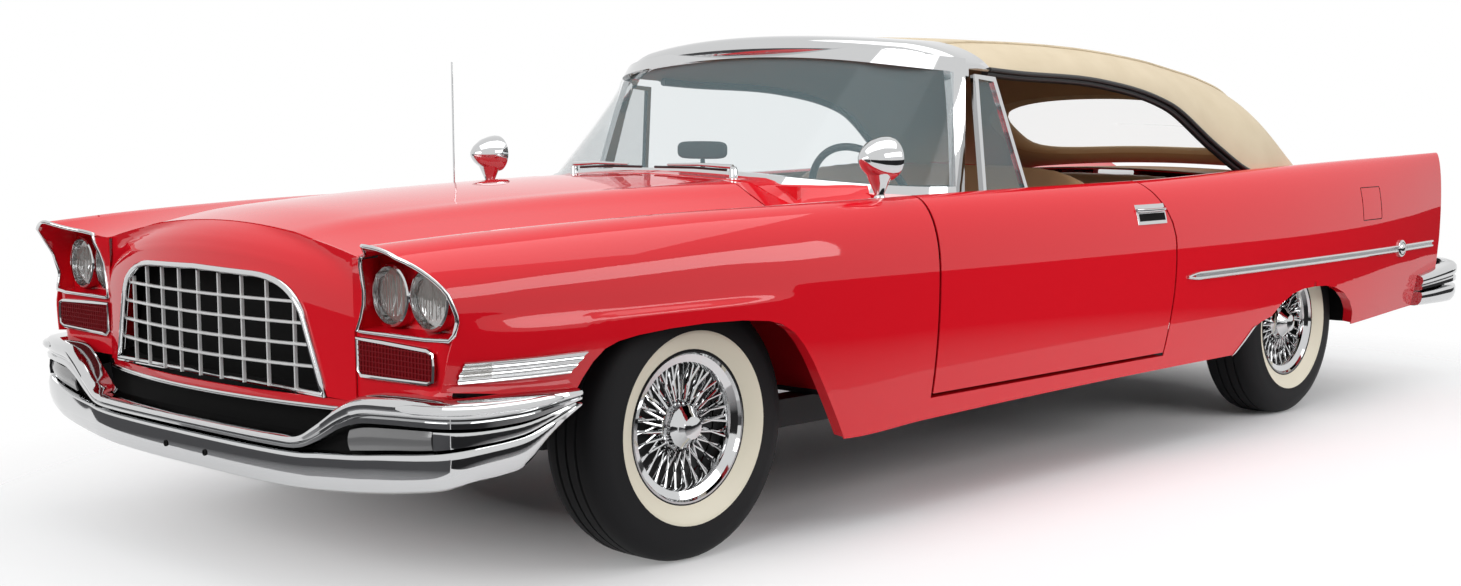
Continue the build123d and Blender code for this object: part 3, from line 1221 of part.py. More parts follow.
# Steering column, wheel and dashboard
COLUMN_X = 370
COLUMN_LOW = (COLUMN_X, -1140, 618)
COLUMN_AXIS = Vector(0, 0.921, 0.3896).normalized()
COLUMN_LEN = 560
COLUMN_R = 26
SHAFT_R = 12
WHEEL_R = 205
WHEEL_GRIP_R = 12
column_top = Vector(*COLUMN_LOW) + COLUMN_AXIS * COLUMN_LEN
hub_centre = column_top + COLUMN_AXIS * 30
with BuildPart() as column:
    rod(COLUMN_LOW, COLUMN_AXIS, COLUMN_R, COLUMN_LEN)
    rod(tuple(column_top), COLUMN_AXIS * -1, SHAFT_R + FIT, 160, Mode.SUBTRACT)
    add(cowl.part, mode=Mode.SUBTRACT)
column_solid = max(column.part.solids(), key=lambda solid: solid.volume)
keep(Part([column_solid]), "steering_column")
with BuildPart() as steering_wheel:
    plane = Plane(origin=hub_centre, x_dir=(1, 0, 0), z_dir=COLUMN_AXIS)
    with Locations(plane):
        Torus(WHEEL_R, WHEEL_GRIP_R)
        Cylinder(38, 40)
        Box(2 * WHEEL_R, 26, 10)
    rod(tuple(hub_centre), COLUMN_AXIS * -1, SHAFT_R, 180)
keep(steering_wheel.part, "steering_wheel")
DASH_HALF = POST_X - 62
with BuildPart() as dash:
    with BuildSketch(Plane.YZ.offset(-DASH_HALF)):
        with BuildLine():
            shelf_z = COWL_SIDE_Z - 40
            Polyline((-1000, shelf_z), (-905, shelf_z), (-860, 800), (-872, 712), (-950, 690), (-1000, 700), close=True)
        make_face()
    extrude(amount=2 * DASH_HALF)
    rod(COLUMN_LOW, COLUMN_AXIS, COLUMN_R + FIT, COLUMN_LEN, Mode.SUBTRACT)
keep(dash.part, "dashboard")

# Mirrors, aerial and wipers
MIRROR_X = 872
MIRROR_Y = -1120
MIRROR_Z = 1012
MIRROR_R = 62
with BuildPart() as mirror_left:
    rod((MIRROR_X, MIRROR_Y, 880), (0, 0, 1), 9, MIRROR_Z - 880)
    cup = [(0, -34), (MIRROR_R, -34), (MIRROR_R, -14), (MIRROR_R * 0.8, 30), (MIRROR_R * 0.4, 66), (0, 78)]
    add(turned(cup, (MIRROR_X, MIRROR_Y, MIRROR_Z)))
    add(fender.part, mode=Mode.SUBTRACT)
mirror_solid = max(mirror_left.part.solids(), key=lambda solid: solid.volume)
keep(both_sides(Part([mirror_solid])), "fender_mirrors")
with BuildPart() as aerial:
    rod((-868, -1277, 880), (0, 0, 1), 3, 444)
    rod((-868, -1277, 880), (0, 0, 1), 12, 34)
    add(mirror(fender.part, about=Plane.YZ), mode=Mode.SUBTRACT)
keep(Part([max(aerial.part.solids(), key=lambda solid: solid.volume)]), "aerial")
WIPER_X = 360
with BuildPart() as wiper:
    rod((WIPER_X, -1172, 930), (0, 0, 1), 11, 58)
    block((WIPER_X - 330, WIPER_X + 6), (-1178, -1166), (976, 984))
    add(cowl.part, mode=Mode.SUBTRACT)
    add(glass.part, mode=Mode.SUBTRACT)
    add(frame_solid, mode=Mode.SUBTRACT)
keep(both_sides(Part([max(wiper.part.solids(), key=lambda solid: solid.volume)])), "wipers")
with BuildPart() as inside_mirror:
    rod((0, -950, 920), (0, 0, 1), 8, 90)
    block((-110, 110), (-960, -940), (1000, 1055))
    add(cowl.part, mode=Mode.SUBTRACT)
keep(Part([max(inside_mirror.part.solids(), key=lambda solid: solid.volume)]), "inside_mirror")

# Tail lamps in the fin ends
with BuildPart() as tail_lamp:
    loft([full_section(y, 815, 660, 60, SKIN + FIT) for y in (2560, 2636)])
    with BuildSketch(Plane.YZ):
        with BuildLine():
            Polyline((2800, 1100), (TAIL_Y + 2, 1100), (TAIL_Y, 968), (2556, 604), (2556, 100), (2800, 100), close=True)
        make_face()
    extrude(amount=1200, mode=Mode.SUBTRACT)
    add(quarter.part, mode=Mode.SUBTRACT)
tail_solid = max(tail_lamp.part.solids(), key=lambda solid: solid.volume)
keep(both_sides(Part([tail_solid])), "tail_lamps")
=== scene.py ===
import json
import math

import bmesh
import bpy
import numpy as np
from mathutils import Matrix, Vector

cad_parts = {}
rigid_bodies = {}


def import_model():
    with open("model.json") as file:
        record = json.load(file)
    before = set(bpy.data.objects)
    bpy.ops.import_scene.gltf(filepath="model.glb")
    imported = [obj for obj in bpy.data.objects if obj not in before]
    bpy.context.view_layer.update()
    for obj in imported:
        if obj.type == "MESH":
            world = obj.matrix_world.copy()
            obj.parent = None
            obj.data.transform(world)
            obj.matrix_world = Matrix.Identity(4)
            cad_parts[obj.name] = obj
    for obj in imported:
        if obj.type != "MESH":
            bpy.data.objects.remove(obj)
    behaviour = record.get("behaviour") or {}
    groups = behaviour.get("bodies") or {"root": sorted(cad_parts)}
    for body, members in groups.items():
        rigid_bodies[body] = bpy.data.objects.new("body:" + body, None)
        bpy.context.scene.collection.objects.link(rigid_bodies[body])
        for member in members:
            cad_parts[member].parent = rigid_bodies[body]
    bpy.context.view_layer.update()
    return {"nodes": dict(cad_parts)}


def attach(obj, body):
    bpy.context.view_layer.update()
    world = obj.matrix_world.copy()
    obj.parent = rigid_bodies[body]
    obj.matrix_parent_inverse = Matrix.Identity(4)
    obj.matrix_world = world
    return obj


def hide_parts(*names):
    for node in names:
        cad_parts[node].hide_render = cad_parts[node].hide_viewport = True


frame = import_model()
MM = 0.001

# Driving sizes in millimetres, as in the CAD source
FRONT_AXLE_Y = -1854
REAR_AXLE_Y = 1346
FRONT_WHEEL_X = 777
REAR_WHEEL_X = 762
TYRE_R = 345
INNER_X = 590
SKIN = 4
NOSE_Y = -2766
FENDER_END_Y = -1000
DOOR_Y = (-990, 289)
DECK_Y = 1300
TAIL_Y = 2640
HOOD_Y = (-2655, -1281)
LID_Y = (1843, 2560)


def rows_of(columns, rows):
    """Table rows as dictionaries under the columns' names."""
    return [dict(zip(columns.split(), row)) for row in rows]


# Body sides: station, crest, widest point, lower edge, inner top edge height
BODY = rows_of("y crest_x crest_z waist_x waist_z low_x low_z valley_z", [
    (-2766, 765, 850, 925, 705, 895, 540, 800),
    (-2500, 800, 868, 965, 695, 940, 512, 828),
    (-2200, 832, 882, 984, 690, 950, 480, 848),
    (-1850, 854, 893, 989, 685, 950, 360, 862),
    (-1400, 872, 900, 991, 678, 950, 266, 872),
    (-1000, 885, 906, 992, 670, 950, 272, 880),
    (-300, 892, 914, 994, 660, 952, 284, 890),
    (300, 890, 919, 994, 655, 952, 288, 893),
    (900, 879, 935, 989, 648, 948, 290, 897),
    (1300, 872, 944, 981, 642, 940, 300, 897),
    (1800, 864, 955, 960, 634, 918, 318, 890),
    (2250, 856, 963, 928, 627, 890, 335, 872),
    (2640, 845, 970, 893, 620, 862, 345, 845),
])
HOOD = rows_of("y centre_z bulge_x bulge_z", [
    (-2655, 878, 340, 858),
    (-2450, 908, 370, 888),
    (-2000, 936, 410, 917),
    (-1600, 952, 440, 932),
    (-1283, 962, 460, 941),
])


def at(table, y):
    """Columns of a station table at y, by cubic steps through the rows."""
    rows = sorted(table, key=lambda row: row["y"])
    if y <= rows[0]["y"]:
        return dict(rows[0], y=y)
    if y >= rows[-1]["y"]:
        return dict(rows[-1], y=y)
    i = max(k for k in range(len(rows) - 1) if rows[k]["y"] <= y)
    low, high = rows[i], rows[i + 1]
    before, after = rows[max(i - 1, 0)], rows[min(i + 2, len(rows) - 1)]
    span = high["y"] - low["y"]
    t = (y - low["y"]) / span
    found = {"y": y}
    for name in low:
        if name == "y":
            continue
        m0 = (high[name] - before[name]) / (high["y"] - before["y"]) * span
        m1 = (after[name] - low[name]) / (after["y"] - low["y"]) * span
        a, b = low[name], high[name]
        h = 2 * t**3 - 3 * t**2 + 1, t**3 - 2 * t**2 + t, -2 * t**3 + 3 * t**2, t**3 - t**2
        found[name] = h[0] * a + h[1] * m0 + h[2] * b + h[3] * m1
    return found


def ease(a, b, x):
    """0 below a, 1 above b, smooth between."""
    t = min(max((x - a) / (b - a), 0.0), 1.0)
    return t * t * (3 - 2 * t)


def steps(points, x):
    """Straight steps through (x, value) points."""
    return float(np.interp(x, [p[0] for p in points], [p[1] for p in points]))


def side_x(y, z):
    """Outer half width of the body side, with the flare over the front wheel."""
    row = at(BODY, y)
    if z >= row["waist_z"]:
        t = min((z - row["waist_z"]) / (row["crest_z"] - row["waist_z"]), 1)
        x = row["crest_x"] + (row["waist_x"] - row["crest_x"]) * (1 - t**2.4) ** 0.5
    else:
        s = (row["waist_z"] - z) / (row["waist_z"] - row["low_z"])
        x = row["waist_x"] - (row["waist_x"] - row["low_x"]) * s**2
    flare = ease(-2650, -2420, y) * (1 - ease(-1900, -1560, y))
    ledge = 1 - ease(664, 682, z)
    return x + flare * (10 * ledge * ease(480, 600, z) - 3 * ease(664, 690, z) * (1 - ease(700, 800, z)))


# Wheel arch lips: height of the lower edge along the car
FRONT_ARCH = [
    (-2312, 500), (-2300, 530), (-2280, 566), (-2250, 594), (-2210, 609), (-2150, 618), (-2050, 625),
    (-1930, 628), (-1800, 624), (-1700, 614), (-1650, 602), (-1600, 576), (-1560, 540), (-1520, 492),
    (-1440, 378), (-1362, 266),
]
REAR_ARCH = [
    (744, 288), (800, 326), (868, 382), (905, 394), (976, 408), (1040, 448), (1124, 480), (1210, 492),
    (1300, 494), (1400, 490), (1490, 476), (1571, 451), (1640, 414), (1690, 370), (1712, 320),
]


def low_edge(y):
    """Height of the body's lower edge along the car, arches included."""
    for arch in (FRONT_ARCH, REAR_ARCH):
        if arch[0][0] < y < arch[-1][0]:
            return steps(arch, y)
    return at(BODY, y)["low_z"]


def placed(name, data):
    """A new object in the scene that shows the data."""
    obj = bpy.data.objects.new(name, data)
    bpy.context.scene.collection.objects.link(obj)
    return obj


class Shape:
    """Vertices, faces and material numbers gathered into one mesh, in millimetres."""

    def __init__(self):
        self.verts = []
        self.faces = []
        self.ids = []

    def grid(self, rows, mat=0, flip=False, loop_u=False, loop_v=False):
        """Quads over rows of points."""
        start = len(self.verts)
        n, m = len(rows), len(rows[0])
        for row in rows:
            self.verts.extend(tuple(p) for p in row)
        for i in range(n if loop_u else n - 1):
            for j in range(m if loop_v else m - 1):
                a = start + i * m + j
                b = start + i * m + (j + 1) % m
                c = start + ((i + 1) % n) * m + (j + 1) % m
                d = start + ((i + 1) % n) * m + j
                self.faces.append((a, d, c, b) if flip else (a, b, c, d))
                self.ids.append(mat)
        return self

    def cap(self, loop, mat=0, flip=False):
        """One face over a closed loop of points."""
        start = len(self.verts)
        self.verts.extend(tuple(p) for p in loop)
        face = tuple(range(start, start + len(loop)))
        self.faces.append(face[::-1] if flip else face)
        self.ids.append(mat)
        return self

    def shell(self, rows, thick, mat=0, inner=None, flip=False, hole=None):
        """Closed sheet: a grid, the same set in by a thickness, its rim, and a hole where asked."""
        pts = np.array(rows, float)
        du = np.gradient(pts, axis=0)
        dv = np.gradient(pts, axis=1)
        normal = np.cross(dv, du) if flip else np.cross(du, dv)
        normal /= np.linalg.norm(normal, axis=2, keepdims=True) + 1e-12
        back = pts - normal * thick
        n, m = pts.shape[:2]
        start = len(self.verts)
        self.verts.extend(map(tuple, pts.reshape(-1, 3)))
        self.verts.extend(map(tuple, back.reshape(-1, 3)))

        def add(face, number, turn):
            self.faces.append(tuple(face[::-1]) if turn else tuple(face))
            self.ids.append(number)

        gone = set()
        if hole:
            middle = (pts[:-1, :-1] + pts[1:, 1:]) / 2
            gone = {(i, j) for i in range(n - 1) for j in range(m - 1) if hole(middle[i, j])}
        for i, j in gone:
            around = [((i - 1, j), (i, j), (i, j + 1)), ((i + 1, j), (i + 1, j + 1), (i + 1, j)),
                      ((i, j - 1), (i + 1, j), (i, j)), ((i, j + 1), (i, j + 1), (i + 1, j + 1))]
            for near, a, b in around:
                if near not in gone:
                    a, b = a[0] * m + a[1], b[0] * m + b[1]
                    add([start + a, start + b, start + b + n * m, start + a + n * m], mat, flip)
        for i in range(n - 1):
            for j in range(m - 1):
                if (i, j) in gone:
                    continue
                first = start + i * m + j
                quad = [first, first + m, first + m + 1, first + 1]
                add(quad, mat, flip)
                number = inner(pts[i, j]) if callable(inner) else mat if inner is None else inner
                add([k + n * m for k in quad], number, not flip)
        edge = [i * m for i in range(n)] + [(n - 1) * m + j for j in range(1, m)]
        edge += [i * m + m - 1 for i in range(n - 2, -1, -1)] + [j for j in range(m - 2, 0, -1)]
        for k, a in enumerate(edge):
            b = edge[(k + 1) % len(edge)]
            add([start + a, start + a + n * m, start + b + n * m, start + b], mat, flip)
        return self

    def tube(self, path, radius, mat=0, sides=10, closed=False, squash=1.0):
        """Round bar along a path."""
        path = [Vector(p) for p in path]
        rows = []
        count = len(path)
        side = None
        for k, p in enumerate(path):
            ahead = path[(k + 1) % count] if closed or k < count - 1 else p
            behind = path[k - 1] if closed or k > 0 else p
            along = (ahead - behind).normalized()
            if side is None:
                side = along.orthogonal().normalized()
            side = (side - along * side.dot(along)).normalized()
            up = along.cross(side)
            r = radius[k] if isinstance(radius, (list, tuple)) else radius
            turn = [2 * math.pi * j / sides for j in range(sides)]
            rows.append([p + side * (r * math.cos(a)) + up * (r * squash * math.sin(a)) for a in turn])
        self.grid(rows, mat, flip=True, loop_u=closed, loop_v=True)
        if not closed:
            self.cap(rows[0], mat)
            self.cap(rows[-1], mat, flip=True)
        return self

    def lathe(self, profile, centre, axis, mats=0, sides=48):
        """Turned form: (radius, reach along the axis) pairs about an axis through a centre."""
        axis = Vector(axis).normalized()
        side = axis.orthogonal().normalized()
        up = axis.cross(side)
        centre = Vector(centre)
        rows = []
        for k in range(sides):
            a = 2 * math.pi * k / sides
            out = side * math.cos(a) + up * math.sin(a)
            rows.append([centre + out * r + axis * h for r, h in profile])
        for j in range(len(profile) - 1):
            mat = mats[j] if isinstance(mats, (list, tuple)) else mats
            self.grid([[row[j], row[j + 1]] for row in rows], mat, flip=True, loop_u=True)
        return self

    def plate(self, loop, step, mat=0):
        """Flat plate: a closed outline and its thickness as a step."""
        far = [tuple(Vector(p) + Vector(step)) for p in loop]
        self.cap(loop, mat).cap(far, mat, flip=True)
        return self.grid([list(loop), far], mat, loop_v=True)

    def cushion(self, centre, half, lean=0.0, pleats=0, mat=0):
        """Stuffed form with soft edges, leaning back, with rows of pleats across the car."""
        def soft(value, power):
            return math.copysign(abs(value) ** power, value)

        rows = []
        for v in spread(-math.pi / 2, math.pi / 2, 25):
            row = []
            for u in spread(-math.pi, math.pi, 97)[:-1]:
                x = half[0] * soft(math.cos(v), 0.3) * soft(math.cos(u), 0.22)
                y = half[1] * soft(math.cos(v), 0.3) * soft(math.sin(u), 0.42)
                z = half[2] * soft(math.sin(v), 0.62)
                crown = 1 + 0.05 * math.cos(math.pi * x / half[0] / 2)
                ripple = 1 - 0.035 * abs(math.sin(math.pi * pleats * x / half[0] / 2)) ** 0.4 if pleats else 1
                y, z = y * crown * ripple, z * crown * ripple
                row.append((centre[0] + x, centre[1] + y * math.cos(lean) + z * math.sin(lean),
                            centre[2] - y * math.sin(lean) + z * math.cos(lean)))
            rows.append(row)
        return self.grid(rows, mat, loop_v=True)

    def box(self, low, high, mat=0):
        """Box between two corners."""
        (x0, y0, z0), (x1, y1, z1) = low, high
        c = [(x, y, z) for x in (x0, x1) for y in (y0, y1) for z in (z0, z1)]
        for quad in ((0, 1, 3, 2), (4, 6, 7, 5), (0, 4, 5, 1), (2, 3, 7, 6), (0, 2, 6, 4), (1, 5, 7, 3)):
            self.cap([c[k] for k in quad], mat)
        return self

    def both(self):
        """Adds the mirror image across the car."""
        start = len(self.verts)
        self.verts += [(-x, y, z) for x, y, z in self.verts]
        self.faces += [tuple(start + k for k in reversed(face)) for face in list(self.faces)]
        self.ids += list(self.ids)
        return self

    def mirrored(self):
        """The mirror image across the car, as a shape of its own."""
        other = Shape()
        other.verts = [(-x, y, z) for x, y, z in self.verts]
        other.faces = [tuple(reversed(face)) for face in self.faces]
        other.ids = list(self.ids)
        return other

    def make(self, name, body, materials, nodes=(), angle=32, slot=None, recalc=True):
        """Mesh object in metres that rides on a body and stands for CAD nodes."""
        mesh = bpy.data.meshes.new(name)
        mesh.from_pydata([tuple(c * MM for c in v) for v in self.verts], [], self.faces)
        for mat in materials:
            mesh.materials.append(mat)
        mesh.polygons.foreach_set("material_index", self.ids)
        work = bmesh.new()
        work.from_mesh(mesh)
        bmesh.ops.remove_doubles(work, verts=work.verts, dist=1e-5)
        bmesh.ops.dissolve_degenerate(work, edges=work.edges, dist=1e-6)
        if recalc:
            bmesh.ops.recalc_face_normals(work, faces=work.faces)
        work.to_mesh(mesh)
        work.free()
        mesh.shade_smooth()
        mesh.set_sharp_from_angle(angle=math.radians(angle))
        mesh.update()
        obj = placed(name, mesh)
        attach(obj, body)
        if nodes:
            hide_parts(*nodes)
        return obj

    def make_pair(self, name, bodies, materials, angle, slot, recalc=False):
        """This piece on the left and its mirror image on the right, each for the CAD node of its side."""
        for side, body, form in zip(("left", "right"), bodies, (self, self.mirrored())):
            form.make(f"visual_{name}_{side}", body, materials, [f"{name}_{side}"], angle, slot, recalc)


def feed(tree, socket, value):
    """Gives a shader socket a plain value, or a link from another socket."""
    if isinstance(value, Value):
        tree.links.new(value.socket, socket)
    else:
        socket.default_value = value


def set_stops(ramp, stops):
    """Stops of a colour ramp, each a place and a colour. A new ramp has its two ends already."""
    for element, (place, colour) in zip(ramp.elements, (stops[0], stops[-1])):
        element.position = place
        element.color = (*colour, 1)
    for place, colour in stops[1:-1]:
        ramp.elements.new(place).color = (*colour, 1)


def shader_node(tree, kind, settings, sockets, output=0):
    """An output of a new node, whose settings come first and then its sockets' values or links."""
    made = tree.nodes.new(kind)
    for name, setting in settings.items():
        if name == "stops":
            set_stops(made.color_ramp, setting)
        else:
            setattr(made, name, setting)
    for name, value in sockets.items():
        feed(tree, made.inputs[name], value)
    return Value(tree, made.outputs[output])


class Value:
    """A socket of a shader tree that adds, multiplies and takes powers like a number."""

    def __init__(self, tree, socket):
        self.tree = tree
        self.socket = socket

    def __add__(self, other):
        return self.op("ADD", other)

    __radd__ = __add__

    def __mul__(self, other):
        return self.op("MULTIPLY", other)

    __rmul__ = __mul__

    def __pow__(self, other):
        return self.op("POWER", other)

    def __rpow__(self, other):
        return shader_node(self.tree, "ShaderNodeMath", {"operation": "POWER"}, {0: other, 1: self})

    def op(self, kind, *args):
        """A Math node on this value, such as SINE or MAXIMUM."""
        return shader_node(self.tree, "ShaderNodeMath", {"operation": kind}, dict(enumerate((self, *args))))

    def parts(self):
        """The three parts of a vector."""
        first = shader_node(self.tree, "ShaderNodeSeparateXYZ", {}, {0: self})
        return [Value(self.tree, socket) for socket in first.socket.node.outputs]

    def between(self, a, b):
        """Two colours mixed by this value."""
        a, b = (colour if isinstance(colour, Value) else (*colour, 1) for colour in (a, b))
        return shader_node(self.tree, "ShaderNodeMix", {"data_type": "RGBA"}, {"Factor": self, 6: a, 7: b}, 2)


class Paint:
    """A material built on one Principled shader."""

    def __init__(self, name, color, roughness=0.5, metallic=0.0, **extra):
        self.mat = bpy.data.materials.new(name)
        self.mat.use_nodes = True
        self.tree = self.mat.node_tree
        self.shader = self.tree.nodes["Principled BSDF"]
        self.set("Base Color", (*color, 1))
        self.set("Roughness", roughness)
        self.set("Metallic", metallic)
        for key, value in extra.items():
            self.set(key.replace("_", " "), value)

    def set(self, name, value):
        """Sets a socket of the shader."""
        feed(self.tree, self.shader.inputs[name], value)

    def place(self):
        """Object coordinates, as a vector."""
        return shader_node(self.tree, "ShaderNodeTexCoord", {}, {}, "Object")

    def noise(self, scale, detail=2.0):
        """Soft mottling."""
        sockets = {"Vector": self.place(), "Scale": scale, "Detail": detail}
        return shader_node(self.tree, "ShaderNodeTexNoise", {}, sockets)

    def bump(self, height, strength, distance):
        """Fine relief of the surface."""
        sockets = {"Strength": strength, "Distance": distance, "Height": height}
        self.set("Normal", shader_node(self.tree, "ShaderNodeBump", {}, sockets))


# Materials
red = Paint("red_gloss", (0.72, 0.008, 0.018), 0.35, Specular_IOR_Level=0.0, Coat_Weight=0.85,
            Coat_Roughness=0.02)
chrome = Paint("chrome", (0.60, 0.605, 0.61), 0.05, 1.0)
satin = Paint("satin_metal", (0.74, 0.75, 0.76), 0.34, 1.0)
rubber = Paint("tyre_black", (0.008, 0.008, 0.009), 0.60, Specular_IOR_Level=0.2)
whitewall = Paint("whitewall", (0.80, 0.75, 0.60), 0.45)
fabric = Paint("top_fabric", (0.62, 0.52, 0.37), 0.85)
leather = Paint("tan_leather", (0.42, 0.25, 0.13), 0.45)
black = Paint("black_satin", (0.012, 0.012, 0.013), 0.4)
under = Paint("underbody_black", (0.02, 0.02, 0.021), 0.55)
iron = Paint("engine_iron", (0.12, 0.12, 0.125), 0.6, 0.5)
glass = Paint("clear_glass", (0.30, 0.44, 0.47), 0.02, Alpha=0.17)
lens = Paint("lamp_lens", (0.56, 0.54, 0.49), 0.06, Alpha=0.32)
clear_sheet = Paint("clear_sheet", (0.7, 0.7, 0.68), 0.05, Alpha=0.07)
red_lens = Paint("red_lens", (0.35, 0.004, 0.006), 0.12, Coat_Weight=1.0)
# Red of the inlets, darkened as painted shade of the ducts behind the mesh
shaded_inlet_red = Paint("inlet_red_painted_shade", (0.20, 0.004, 0.008), 0.5, Specular_IOR_Level=0.15)
bars = Paint("polished_bars", (0.90, 0.90, 0.89), 0.4, 0.5)
smoked = Paint("smoked_lens", (0.16, 0.16, 0.16), 0.15, Coat_Weight=0.6)
# Near-black painted shade, put in gaps, recesses, holes, behind the grille, on hinge straps and on the hidden
# insides of panels
painted_shade = Paint("painted_shade_black", (0.006, 0.006, 0.006), 0.8, Specular_IOR_Level=0.1)

THREADS = 2600.0
warp, weft, _ = fabric.place().parts()
threads = (warp * THREADS).op("SINE") * (weft * THREADS).op("SINE")
fabric.bump(threads, 0.25, 0.0004)
fabric.set("Base Color", fabric.noise(9.0).between((0.58, 0.48, 0.33), (0.68, 0.58, 0.42)))
leather.bump(leather.noise(260.0, 3.0), 0.25, 0.0006)
rubber.bump(rubber.noise(180.0, 3.0), 0.15, 0.0006)


def spread(a, b, n):
    """Even numbers from a to b."""
    return [a + (b - a) * k / (n - 1) for k in range(n)]


def station_list(y0, y1, step, extra=()):
    """Even stations with extra ones put in."""
    count = max(int((y1 - y0) / step), 2)
    found = set(spread(y0, y1, count + 1)) | {y for y in extra if y0 < y < y1}
    return sorted(found)


PANEL_STEP = 28
ARCH_STATIONS = [y for y, _ in FRONT_ARCH + REAR_ARCH]
UPPER = [math.sin(math.pi / 2 * k / 16) for k in range(16, -1, -1)]
LOWER = spread(0, 1, 13)[1:]


def side_column(y, low=None):
    """Points down the body side from the crest to the lower edge."""
    row = at(BODY, y)
    end = low_edge(y) if low is None else low
    waist = max(row["waist_z"], end + 5)
    heights = [waist + (row["crest_z"] - waist) * t for t in UPPER]
    heights += [waist + (end - waist) * t for t in LOWER]
    return [(side_x(y, z), y, z) for z in heights]


def top_height(row, t):
    """Height of the fender top at a share of the way from its inner edge to the crest."""
    return row["valley_z"] + (row["crest_z"] - row["valley_z"]) * (0.44 * t + 0.56 * t * t)


def top_column(y, count=10):
    """Points from the inner top edge to just short of the crest."""
    row = at(BODY, y)
    shares = [k / count for k in range(count)]
    return [(INNER_X + (row["crest_x"] - INNER_X) * t, y, top_height(row, t)) for t in shares]


def on_side(out, ys, zs):
    """Rows of points on the body side, set out from it."""
    return [[(side_x(y, z) + out, y, z) for y in ys] for z in zs]


# Front fenders with the lamp bay behind the brow
BAY_Y = -2600
BAY_FOOT = 530
BROW_START = -2480
PAINTED_INSIDE_Y = -2560
FORWARD = (0, -1, 0)
BODY_PAIR = ("car_body", "car_body")
DOOR_PAIR = ("left_door", "right_door")


def fender_column(y):
    """Points over the fender top and down its side."""
    return top_column(y) + side_column(y)


def pulled(ys, column, edge, start, full):
    """Columns whose end nearest an edge is drawn to that edge's own line."""
    found = []
    for y in ys:
        t = min(max((y - start) / (full - start), 0), 1)
        points = column(y)
        if t > 0:
            count = len(points)
            points = [column(start + (edge(k / (count - 1)) - start) * t)[k] for k in range(count)]
        found.append(points)
    return found


def brow_y(share):
    """Front edge of the fender, from the inner top edge over the brow tip to the foot."""
    return steps([(0, -2672), (0.12, -2690), (0.27, -2766), (0.42, -2742), (0.60, -2664), (0.70, -2642),
                  (0.85, -2662), (1.0, -2668)], share)


fender_ys = station_list(NOSE_Y, FENDER_END_Y, PANEL_STEP, ARCH_STATIONS)
fender_rows = pulled(fender_ys, fender_column, brow_y, BROW_START, NOSE_Y)
brow_line = fender_rows[0]
fender = Shape()
# Inside faces are red ahead of PAINTED_INSIDE_Y and near-black painted shade behind it
fender.shell(fender_rows, SKIN, 0, lambda p: 0 if p[1] < PAINTED_INSIDE_Y else 1, True)
bay = [(x, BAY_Y, z - 6) for x, _, z in top_column(BAY_Y)]
bay += [(x - 6, BAY_Y, z) for x, _, z in side_column(BAY_Y, BAY_FOOT)]
bay.append((INNER_X, BAY_Y, BAY_FOOT))
fender.cap(bay, 0)
# Back of the bay wall in near-black painted shade
fender.cap([(x, y + 3, z) for x, y, z in bay], 1, True)
paint_mats = [red.mat, painted_shade.mat, leather.mat]
fender.make_pair("front_fender", BODY_PAIR, paint_mats, 40, "body_paint")

# Floor and inner wall of the lamp bay, and the face under it
FACE_Y = -2664
FACE_FOOT = 484
POD_Z = 642


def face_row(z):
    """Points across the face under a lamp bay, curving back at its outer end."""
    wide = side_x(FACE_Y, z) - 2 - INNER_X
    return [(INNER_X + wide * s, FACE_Y + 30 * ease(0.86, 1.0, s) ** 2, z) for s in spread(0, 1, 15)]


pod = Shape()
face = [face_row(z) for z in spread(POD_Z, FACE_FOOT, 8)]
pod.shell(face, 3, 0, 0)
edge = [(x, y, POD_Z) for x, y, _ in face[0]]
pod.shell([edge, [(x, BAY_Y + 2, POD_Z + 6) for x, _, _ in edge]], 3, 0, 0)
INNER_EDGE = [(INNER_X + out, y, z) for out, y, z in (
    (10, -2669, POD_Z), (22, -2665, 675), (31, -2664, 705), (36, -2666, 735), (42, -2674, 765),
    (50, -2684, 795), (53, -2685, 809))]
pod.shell([INNER_EDGE, [(INNER_X + 9, BAY_Y + 2, z) for _, _, z in INNER_EDGE]], 3, 0, 0)
pod.shell([[(INNER_X - 2, -2670, z) for _, _, z in INNER_EDGE], INNER_EDGE], 3, 0, 0)
pod.both().make("visual_lamp_bays", "car_body", [red.mat], (), 40, "body_paint")

# Bright edge round each lamp bay
brow = Shape()
down = [p for p in brow_line[3:] if p[2] > POD_Z + 6]
under_edge = [(side_x(FACE_Y, POD_Z) - 6, FACE_Y + 8, POD_Z + 2), (860, FACE_Y - 3, POD_Z),
              (720, FACE_Y - 4, POD_Z), (INNER_X + 24, FACE_Y - 5, POD_Z)]
brow.tube(down + under_edge + INNER_EDGE, 5, 0, 8, closed=True)
brow.both().make("visual_brow_trim", "car_body", [chrome.mat], (), 60, "bright_metal")

# Headlamps: bright rims, lenses and bowls
LAMP_X = (680, 828)
LAMP_Z = 727
LAMP_RIM = [(66, 0), (74, 0), (75, 22), (72, 32), (67, 34), (65, 28), (64, 8)]
LENS = [(65, 12), (58, 20), (44, 27), (24, 31), (0.5, 32)]
BOWL = [(64, 10), (40, 3), (20, 1), (0.5, 1)]
FLUTE_PITCH = 13
rims = Shape()
lamps = Shape()
for x in LAMP_X:
    centre = (x, BAY_Y, LAMP_Z)
    rims.lathe(LAMP_RIM, centre, FORWARD, 0, 40)
    lamps.lathe(LENS, centre, FORWARD, 0, 40)
    lamps.lathe(BOWL, centre, FORWARD, 1, 40)
    for k in range(-4, 5):
        across = k * FLUTE_PITCH
        half = math.sqrt(60**2 - across**2)
        flute_y = BAY_Y - 24 + abs(k) * 2.2
        lamps.tube([(x + across, flute_y, LAMP_Z + half * s) for s in (-0.8, 0.0, 0.8)], 1.6, 1, 5)
rims.both().make("visual_headlamp_rims", "car_body", [chrome.mat], ["headlamp_rims"], 40, "bright_metal")
lamps.both().make("visual_headlamps", "car_body", [lens.mat, chrome.mat], ["headlamps"], 40, "clear_glass",
                  False)
